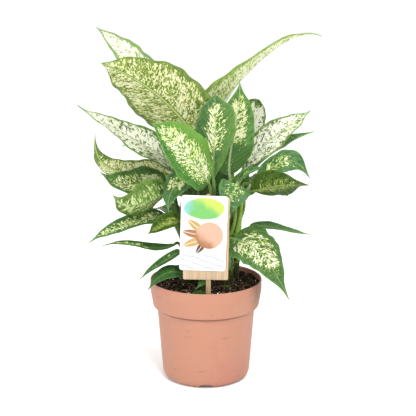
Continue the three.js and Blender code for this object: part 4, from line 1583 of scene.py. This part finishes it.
@dataclass
class Label:
    """The plant label: a stick in the soil, a bare board on it and a printed card in front."""

    gap: float = 0.3
    stick_x: float = 2.4
    stick_y: float = -45.0
    stick_width: float = 5.0
    stick_thickness: float = 2.0
    stick_foot: float = 66.3
    stick_taper: float = 8.0
    stick_edge: float = 0.4
    stick_top: float = 211.0
    board: Panel = Panel(
        "label_board", x=0.2, z=164.5, width=46.5, height=87.0, thickness=1.2, corner=1.5, turn=-1.0
    )
    card: Panel = Panel(
        "label_card", x=-2.5, z=170.5, width=47.5, height=79.0, thickness=0.8, corner=3.0, turn=-2.0
    )
    stick_finish: WoodFinish = WoodFinish("label_stick_wood", (0.47, 0.319, 0.176), (0.319, 0.193, 0.101))
    board_finish: WoodFinish = WoodFinish("label_board_wood", (0.445, 0.332, 0.214), (0.336, 0.231, 0.139))
    card_finish: CardFinish = CardFinish()

    def build(self) -> list[Object]:
        """Builds the stick, the board and the card, from the back to the front.

        Returns:
            The three pieces.
        """
        stick_front = self.stick_y - self.stick_thickness / 2
        board_front = stick_front - self.gap - self.board.thickness
        card_front = board_front - self.gap - self.card.thickness
        return [
            self._stick(stick_front),
            self.board.build(board_front, self.board_finish.make()),
            self.card.build(card_front, self.card_finish.make(self.card)),
        ]

    def _stick(self, front: float) -> Object:
        """The stick: parallel sides, a tapered foot and half a circle at the top.

        Args:
            front: The y of its front face.

        Returns:
            The stick.
        """
        half, foot = self.stick_width / 2, self.stick_foot
        neck = foot + self.stick_taper
        turn = np.linspace(0, math.pi, 15)
        arch = np.stack([half * np.cos(turn), self.stick_top - half + half * np.sin(turn)], axis=1)
        taper = ((-half, neck), (-half / 2, foot), (half / 2, foot), (half, neck))
        outline = np.concatenate([arch, taper]) + (self.stick_x, 0.0)
        skin = slab(outline, front, self.stick_thickness, self.stick_edge)
        material = self.stick_finish.make()
        return crisp(skin.to_piece("label_stick_wood", material, "label_wood", "label_stick"))


@dataclass
class Studio:
    """The pale floor, the soft light and the camera at the photograph's viewing angle.

    Places and sizes of lights and camera are in metres, and a light has its name, place, side and watts.
    """

    camera_place: Point = (0.0, -1.1, 0.44)
    pitch: float = 13.0
    yaw: float = 0.11
    focal_pixels: float = 1064.0
    image_pixels: float = 416.0
    sensor: float = 36.0
    sky: float = 1.04
    aim: Point = (0.0, 0.0, 0.2)
    floor_radii: Pair = (20.0, 9000.0)
    floor_z: Pair = (-5.0, -0.2)
    floor_colour: Colour = (0.96, 0.96, 0.955)
    clip: Pair = (0.05, 50.0)
    lights: tuple[tuple[str, Point, float, float], ...] = (
        ("key", (0.4, -1.15, 1.4), 0.55, 22.0),
        ("fill", (-1.1, -1.2, 0.75), 1.1, 11.0),
        ("top", (0.2, 0.15, 1.7), 0.7, 9.0),
    )

    def build(self) -> None:
        """Builds floor, world, lights and camera."""
        self._floor()
        world = bpy.data.worlds.new("studio")
        world.use_nodes = True
        background = world.node_tree.nodes["Background"]
        background.inputs[0].default_value = (1.0, 1.0, 1.0, 1.0)
        background.inputs[1].default_value = self.sky
        bpy.context.scene.world = world
        for light in self.lights:
            self._light(*light)
        self._camera()
        bpy.context.scene.view_settings.view_transform = "Standard"

    def _floor(self) -> None:
        """A round floor: a thin plate turned about the axis, its top just under the pot."""
        (near, far), (low, top) = self.floor_radii, self.floor_z
        profile = np.array([(near, low), (far, low), (far, top), (near, top)])
        floor = loft(spun(profile, 96)).to_object("floor")
        shader = Shader("floor_paint")
        roughness = 0.75 + shader.noise(40.0, 2.0) * 0.1
        floor.data.materials.append(shader.surface(self.floor_colour, roughness))

    def _light(self, name: str, place: Point, size: float, power: float) -> None:
        """A square soft light that faces the plant.

        Args:
            name: Its name.
            place: Where it hangs.
            size: Its side.
            power: Its power in watts.
        """
        data = bpy.data.lights.new(name, "AREA")
        data.shape, data.size, data.energy = "SQUARE", size, power
        lamp = linked(name, data)
        lamp.location = place
        lamp.visible_camera = False
        lamp.rotation_euler = (Vector(self.aim) - Vector(place)).to_track_quat("-Z", "Y").to_euler()

    def _camera(self) -> None:
        """The camera, with its lens from the focal length in pixels of a square image."""
        data = bpy.data.cameras.new("camera")
        data.sensor_width = self.sensor
        data.lens = self.focal_pixels / self.image_pixels * self.sensor
        data.clip_start, data.clip_end = self.clip
        camera = linked("camera", data)
        camera.location = self.camera_place
        camera.rotation_euler = (math.radians(90 - self.pitch), 0.0, math.radians(-self.yaw))
        bpy.context.scene.camera = camera


CANES = (
    Cane("left", (-20, 0), (-21, 2, 176), 6.5, 4.6),
    Cane("right", (22, -6), (27, -4, 176), 6.5, 4.6),
    Cane("back", (-2, 27), (-4, 26, 190), 7.0, 5.0),
    Cane("front", (1, -18), (3, -16, 168), 6.0, 4.2),
    Cane("rear_right", (30, 20), (35, 21, 182), 6.0, 4.4),
)

LEAVES = [
    Leaf(1, "back", 172, ((-37, 38, 301), (-65, 55, 326), (-93, 70, 350), (-121, 84, 371)),
         (-0.3, -0.8, 0.5), 15, 10, 8, 2, Look.WHITE_FADED, (0.86, 0, 1)),
    Leaf(2, "back", 158, ((-8, 15, 254), (-39, -3, 297), (-72, -20, 325), (-105, -32, 342)),
         (0.28, 0.93, 0.35), 40.5, 6, 8, 1.2, Look.OLIVE_STREAKED, (0.55, 0, 1), rise=0.44, fall=0.9),
    Leaf(3, "front", 158, ((3, -24, 217), (-12, -41, 242), (-31, -53, 266), (-53, -62, 286)),
         (0.2, -0.75, 0.6), 27, 10, -6, 1.5, Look.CREAM_SUNLIT, (0.57, 0.02, 0.95), fall=0.85, lean=0.6),
    Leaf(4, "front", 164, ((8, -9, 217), (8, -13, 248), (10, -11, 280), (9, -6, 307)),
         (0.1, -0.9, 0.3), 21, 10, 6, 1.5, Look.DEEP_HERRINGBONE, (0.53, 0.3, 0.86),
         rise=1.2, fall=0.7, lean=0.8),
    Leaf(5, "rear_right", 150, ((25, 2, 220), (26, 1, 248), (32, 4, 283), (35, 6, 320)),
         (0.3, -0.9, 0.1), 23, 10, 6, 1, Look.CREAM_TOP, (0.57, 0.42, 0.96), rise=0.8, lean=0.7),
    Leaf(6, "right", 164, ((30, 0, 204), (35, -2, 213), (39, -3, 222), (41, -3, 230)),
         (0.3, -0.9, 0.2), 10, 10, 5, 0.5, Look.CREAM_TOP, (0.35, 0, 0.8)),
    Leaf(7, "back", 176, ((-2, 30, 275), (33, 35, 314), (79, 46, 354), (124, 56, 363)),
         (-0.45, 0.27, 0.8), 30, 12, 8, 1.5, Look.PALE_BACK, (0.62, 0, 0.9), rise=0.3, fall=1.2, twist=55),
    Leaf(8, "rear_right", 166, ((32, 31, 230), (43, 37, 252), (50, 41, 275), (53, 43, 297)),
         (-0.2, -0.9, 0.3), 15, 8, 6, 1, Look.WHITE_SPOTTED, (0.84, 0, 0.98), fall=0.35),
    Leaf(9, "rear_right", 170, ((41, 17, 224), (63, 22, 250), (87, 26, 269), (112, 30, 286)),
         (-0.3, -0.7, 0.6), 18, 10, 8, 1, Look.WHITE_SPOTTED, (0.74, 0, 1), rise=0.8, fall=1.15, lean=0.5),
    Leaf(10, "rear_right", 164, ((43, 27, 215), (68, 31, 237), (93, 32, 253), (116, 32, 263)),
         (-0.2, -0.1, 0.95), 15, 12, 6, 1, Look.CREAM_SUNLIT, (0.26, 0.2, 0.9), rise=0.8),
    Leaf(11, "right", 150, ((42, -6, 214), (62, -9, 226), (84, -11, 239), (108, -15, 221)),
         (-0.1, -0.42, 0.9), 18, 6, -8, 1, Look.GREY_FLECKED, (0.45, 0.3, 0.78),
         rise=1.4, fall=0.95, lean=0.6),
    Leaf(12, "right", 134, ((45, -15, 208), (61, -24, 213), (78, -32, 218), (105, -40, 219)),
         (-0.1, 0.75, 0.65), 26, 8, -5, 1, Look.OLIVE_SHADED, (0.46, 0.15, 0.85), rise=1.2, fall=1.05),
    Leaf(13, "front", 152, ((32, -25, 217), (27, -36, 208), (24, -42, 197), (25, -43, 186)),
         (0.15, -0.8, 0.55), 17, 8, -8, 0.5, Look.GREY_FLECKED, (0.37, 0, 0.6), rise=0.2, fall=1.15),
    Leaf(14, "front", 146, ((-10, -21, 217), (-23, -32, 223), (-35, -39, 212), (-38, -41, 191)),
         (-0.35, -0.75, 0.55), 14, 8, -6, 0.5, Look.GREY_FLECKED, (0.48, 0, 0.7)),
    Leaf(15, "left", 168, ((-26, -4, 228), (-60, -16, 254), (-95, -28, 277), (-129, -40, 301)),
         (0.2, -0.6, 0.75), 20, 10, 6, 1.5, Look.WHITE_SPOTTED, (0.74, 0, 1), fall=1.4, lean=0.5),
    Leaf(16, "left", 160, ((-26, 12, 214), (-61, 14, 220), (-101, 10, 227), (-116, 4, 265)),
         (-0.1, 0.75, 0.65), 19, 10, 6, 1, Look.OLIVE_STREAKED, (0.6, 0, 0.85)),
    Leaf(17, "left", 158, ((-40, -3, 212), (-60, -8, 213), (-85, -14, 215), (-110, -18, 229)),
         (-0.05, -0.6, 0.8), 22.5, 8, 5, 1, Look.CREAM_CENTRE, (0.51, 0.1, 0.9), lean=0.5),
    Leaf(18, "left", 144, ((-40, -24, 208), (-57, -36, 203), (-76, -46, 200), (-94, -53, 212)),
         (0.2, 0.8, 0.5), 26, 10, 8, 1, Look.OLIVE_VEINED, (0.47, 0, 0.9)),
    Leaf(19, "left", 146, ((-42, 3, 178), (-63, -12, 177), (-93, -28, 171), (-121, -44, 159)),
         (-0.2, -0.55, 0.8), 12, 10, 6, 1, Look.GREY_FLECKED, (0.5, 0.1, 0.92)),
    Leaf(20, "front", 136, ((-26, -31, 177), (-37, -35, 179), (-49, -38, 174), (-60, -40, 168)),
         (-0.1, -0.85, 0.5), 12, 25, 35, 0, Look.OLIVE_SHADED, (0.54, 0, 0.9)),
    Leaf(21, "left", 122, ((-32, -22, 153), (-54, -26, 149), (-80, -28, 154), (-108, -28, 152)),
         (0, -0.3, 0.95), 7, 14, 6, 0.5, Look.SHADE_GREEN, (0.52, 0.4, 0.95)),
    Leaf(22, "front", 122, ((-25, -34, 149), (-40, -38, 140), (-55, -40, 131), (-69, -40, 119)),
         (-0.2, -0.4, 0.9), 7, 14, 6, 0, Look.SHADE_GREEN, (0.2, 0.2, 0.8), rise=0.4),
    Leaf(23, "front", 112, ((-21, -30, 122), (-36, -34, 125), (-49, -36, 120), (-61, -37, 106)),
         (-0.3, -0.6, 0.7), 9, 10, 5, 0, Look.SHADE_GREEN, (0.15, 0.2, 0.8)),
    Leaf(24, "right", 120, ((27, -21, 158), (48, -32, 153), (65, -42, 137), (87, -50, 98)),
         (0.3, -0.7, 0.65), 27, 6, -6, 1.5, Look.CREAM_CENTRE, (0.51, 0.08, 0.8), rise=0.42, lean=0.5),
    Leaf(25, "rear_right", 134, ((46, 10, 162), (63, 8, 164), (87, 6, 160), (112, 4, 156)),
         (0, -0.2, 0.97), 9, 12, 5, 0.5, Look.GREY_FLECKED, (0.15, 0.2, 0.8)),
    Leaf(26, "right", 160, ((33, -14, 216), (41, -19, 226), (50, -22, 231), (58, -25, 236)),
         (-0.3, -0.35, 0.9), 7, 14, 5, 0, Look.GREY_FLECKED, (0.3, 0.2, 0.8)),
    Leaf(27, "front", 112, ((2, -32, 118), (0, -36, 120), (-4, -40, 116), (-10, -43, 110)),
         (-0.2, -0.7, 0.7), 6, 8, 5, 0, Look.SHADE_GREEN, (0.3, 0.2, 0.8)),
    Leaf(28, "left", 150, ((-28, 54, 220), (-51, 74, 235), (-75, 92, 240), (-97, 110, 233)),
         (-0.3, 0.3, 0.9), 25, 10, 6, 1.5, Look.WHITE_SPOTTED, (0.72, 0, 0.95)),
    Leaf(29, "back", 172, ((0, 45, 185), (2, 57, 208), (6, 72, 229), (10, 88, 244)),
         (0, -0.8, 0.6), 26, 10, 6, 1.5, Look.SHADE_GREEN, (0.1, 0.3, 0.9), rise=0.4),
    Leaf(30, "back", 140, ((8, 54, 174), (12, 78, 185), (16, 100, 180), (18, 118, 160)),
         (0, 0.4, 0.9), 23, 8, 5, 1.5, Look.CREAM_CENTRE, (0.6, 0.05, 0.9)),
    Leaf(31, "rear_right", 146, ((40, 42, 188), (58, 60, 201), (77, 76, 201), (92, 90, 186)),
         (0.3, 0.3, 0.9), 22, 8, 5, 1.5, Look.DEEP_HERRINGBONE, (0.6, 0.1, 0.85)),
    Leaf(32, "back", 122, ((-26, 42, 163), (-44, 58, 171), (-59, 72, 168), (-73, 84, 156)),
         (-0.3, 0.3, 0.9), 17, 8, 5, 1, Look.GREY_FLECKED, (0.35, 0.1, 0.8)),
    Leaf(33, "rear_right", 160, ((41, 53, 218), (55, 73, 236), (69, 92, 242), (81, 110, 237)),
         (0.2, 0.1, 0.95), 24, 8, 6, 1.5, Look.WHITE_SPOTTED, (0.72, 0, 0.95)),
    Leaf(34, "back", 132, ((-22, 56, 184), (-38, 80, 193), (-51, 102, 187), (-63, 120, 168)),
         (-0.1, 0.3, 0.95), 20, 8, 5, 1.5, Look.CREAM_CENTRE, (0.56, 0.05, 0.85)),
]


def report(name: str, pieces: list[Object]) -> None:
    """Logs each finished piece with its count of faces."""
    for piece in pieces:
        LOG.info("%s: %s, %d faces", name, piece.name, len(piece.data.polygons))


def main() -> None:
    """Builds every sub-assembly in order."""
    logging.basicConfig(level=logging.INFO, format="%(message)s")
    pot = Pot()
    report("pot", pot.build())
    report("soil", Soil(pot).build())
    bark = CaneFinish().make()
    report("canes", [cane.build(bark) for cane in CANES])
    canes = {cane.name: cane for cane in CANES}
    finishes = {look: look.value.make(f"leaf_{look.name.lower()}") for look in Look}
    report("leaves", [leaf.build(canes[leaf.cane], finishes[leaf.look]) for leaf in LEAVES])
    report("label", Label().build())
    Studio().build()


if __name__ == "__main__":
    main()
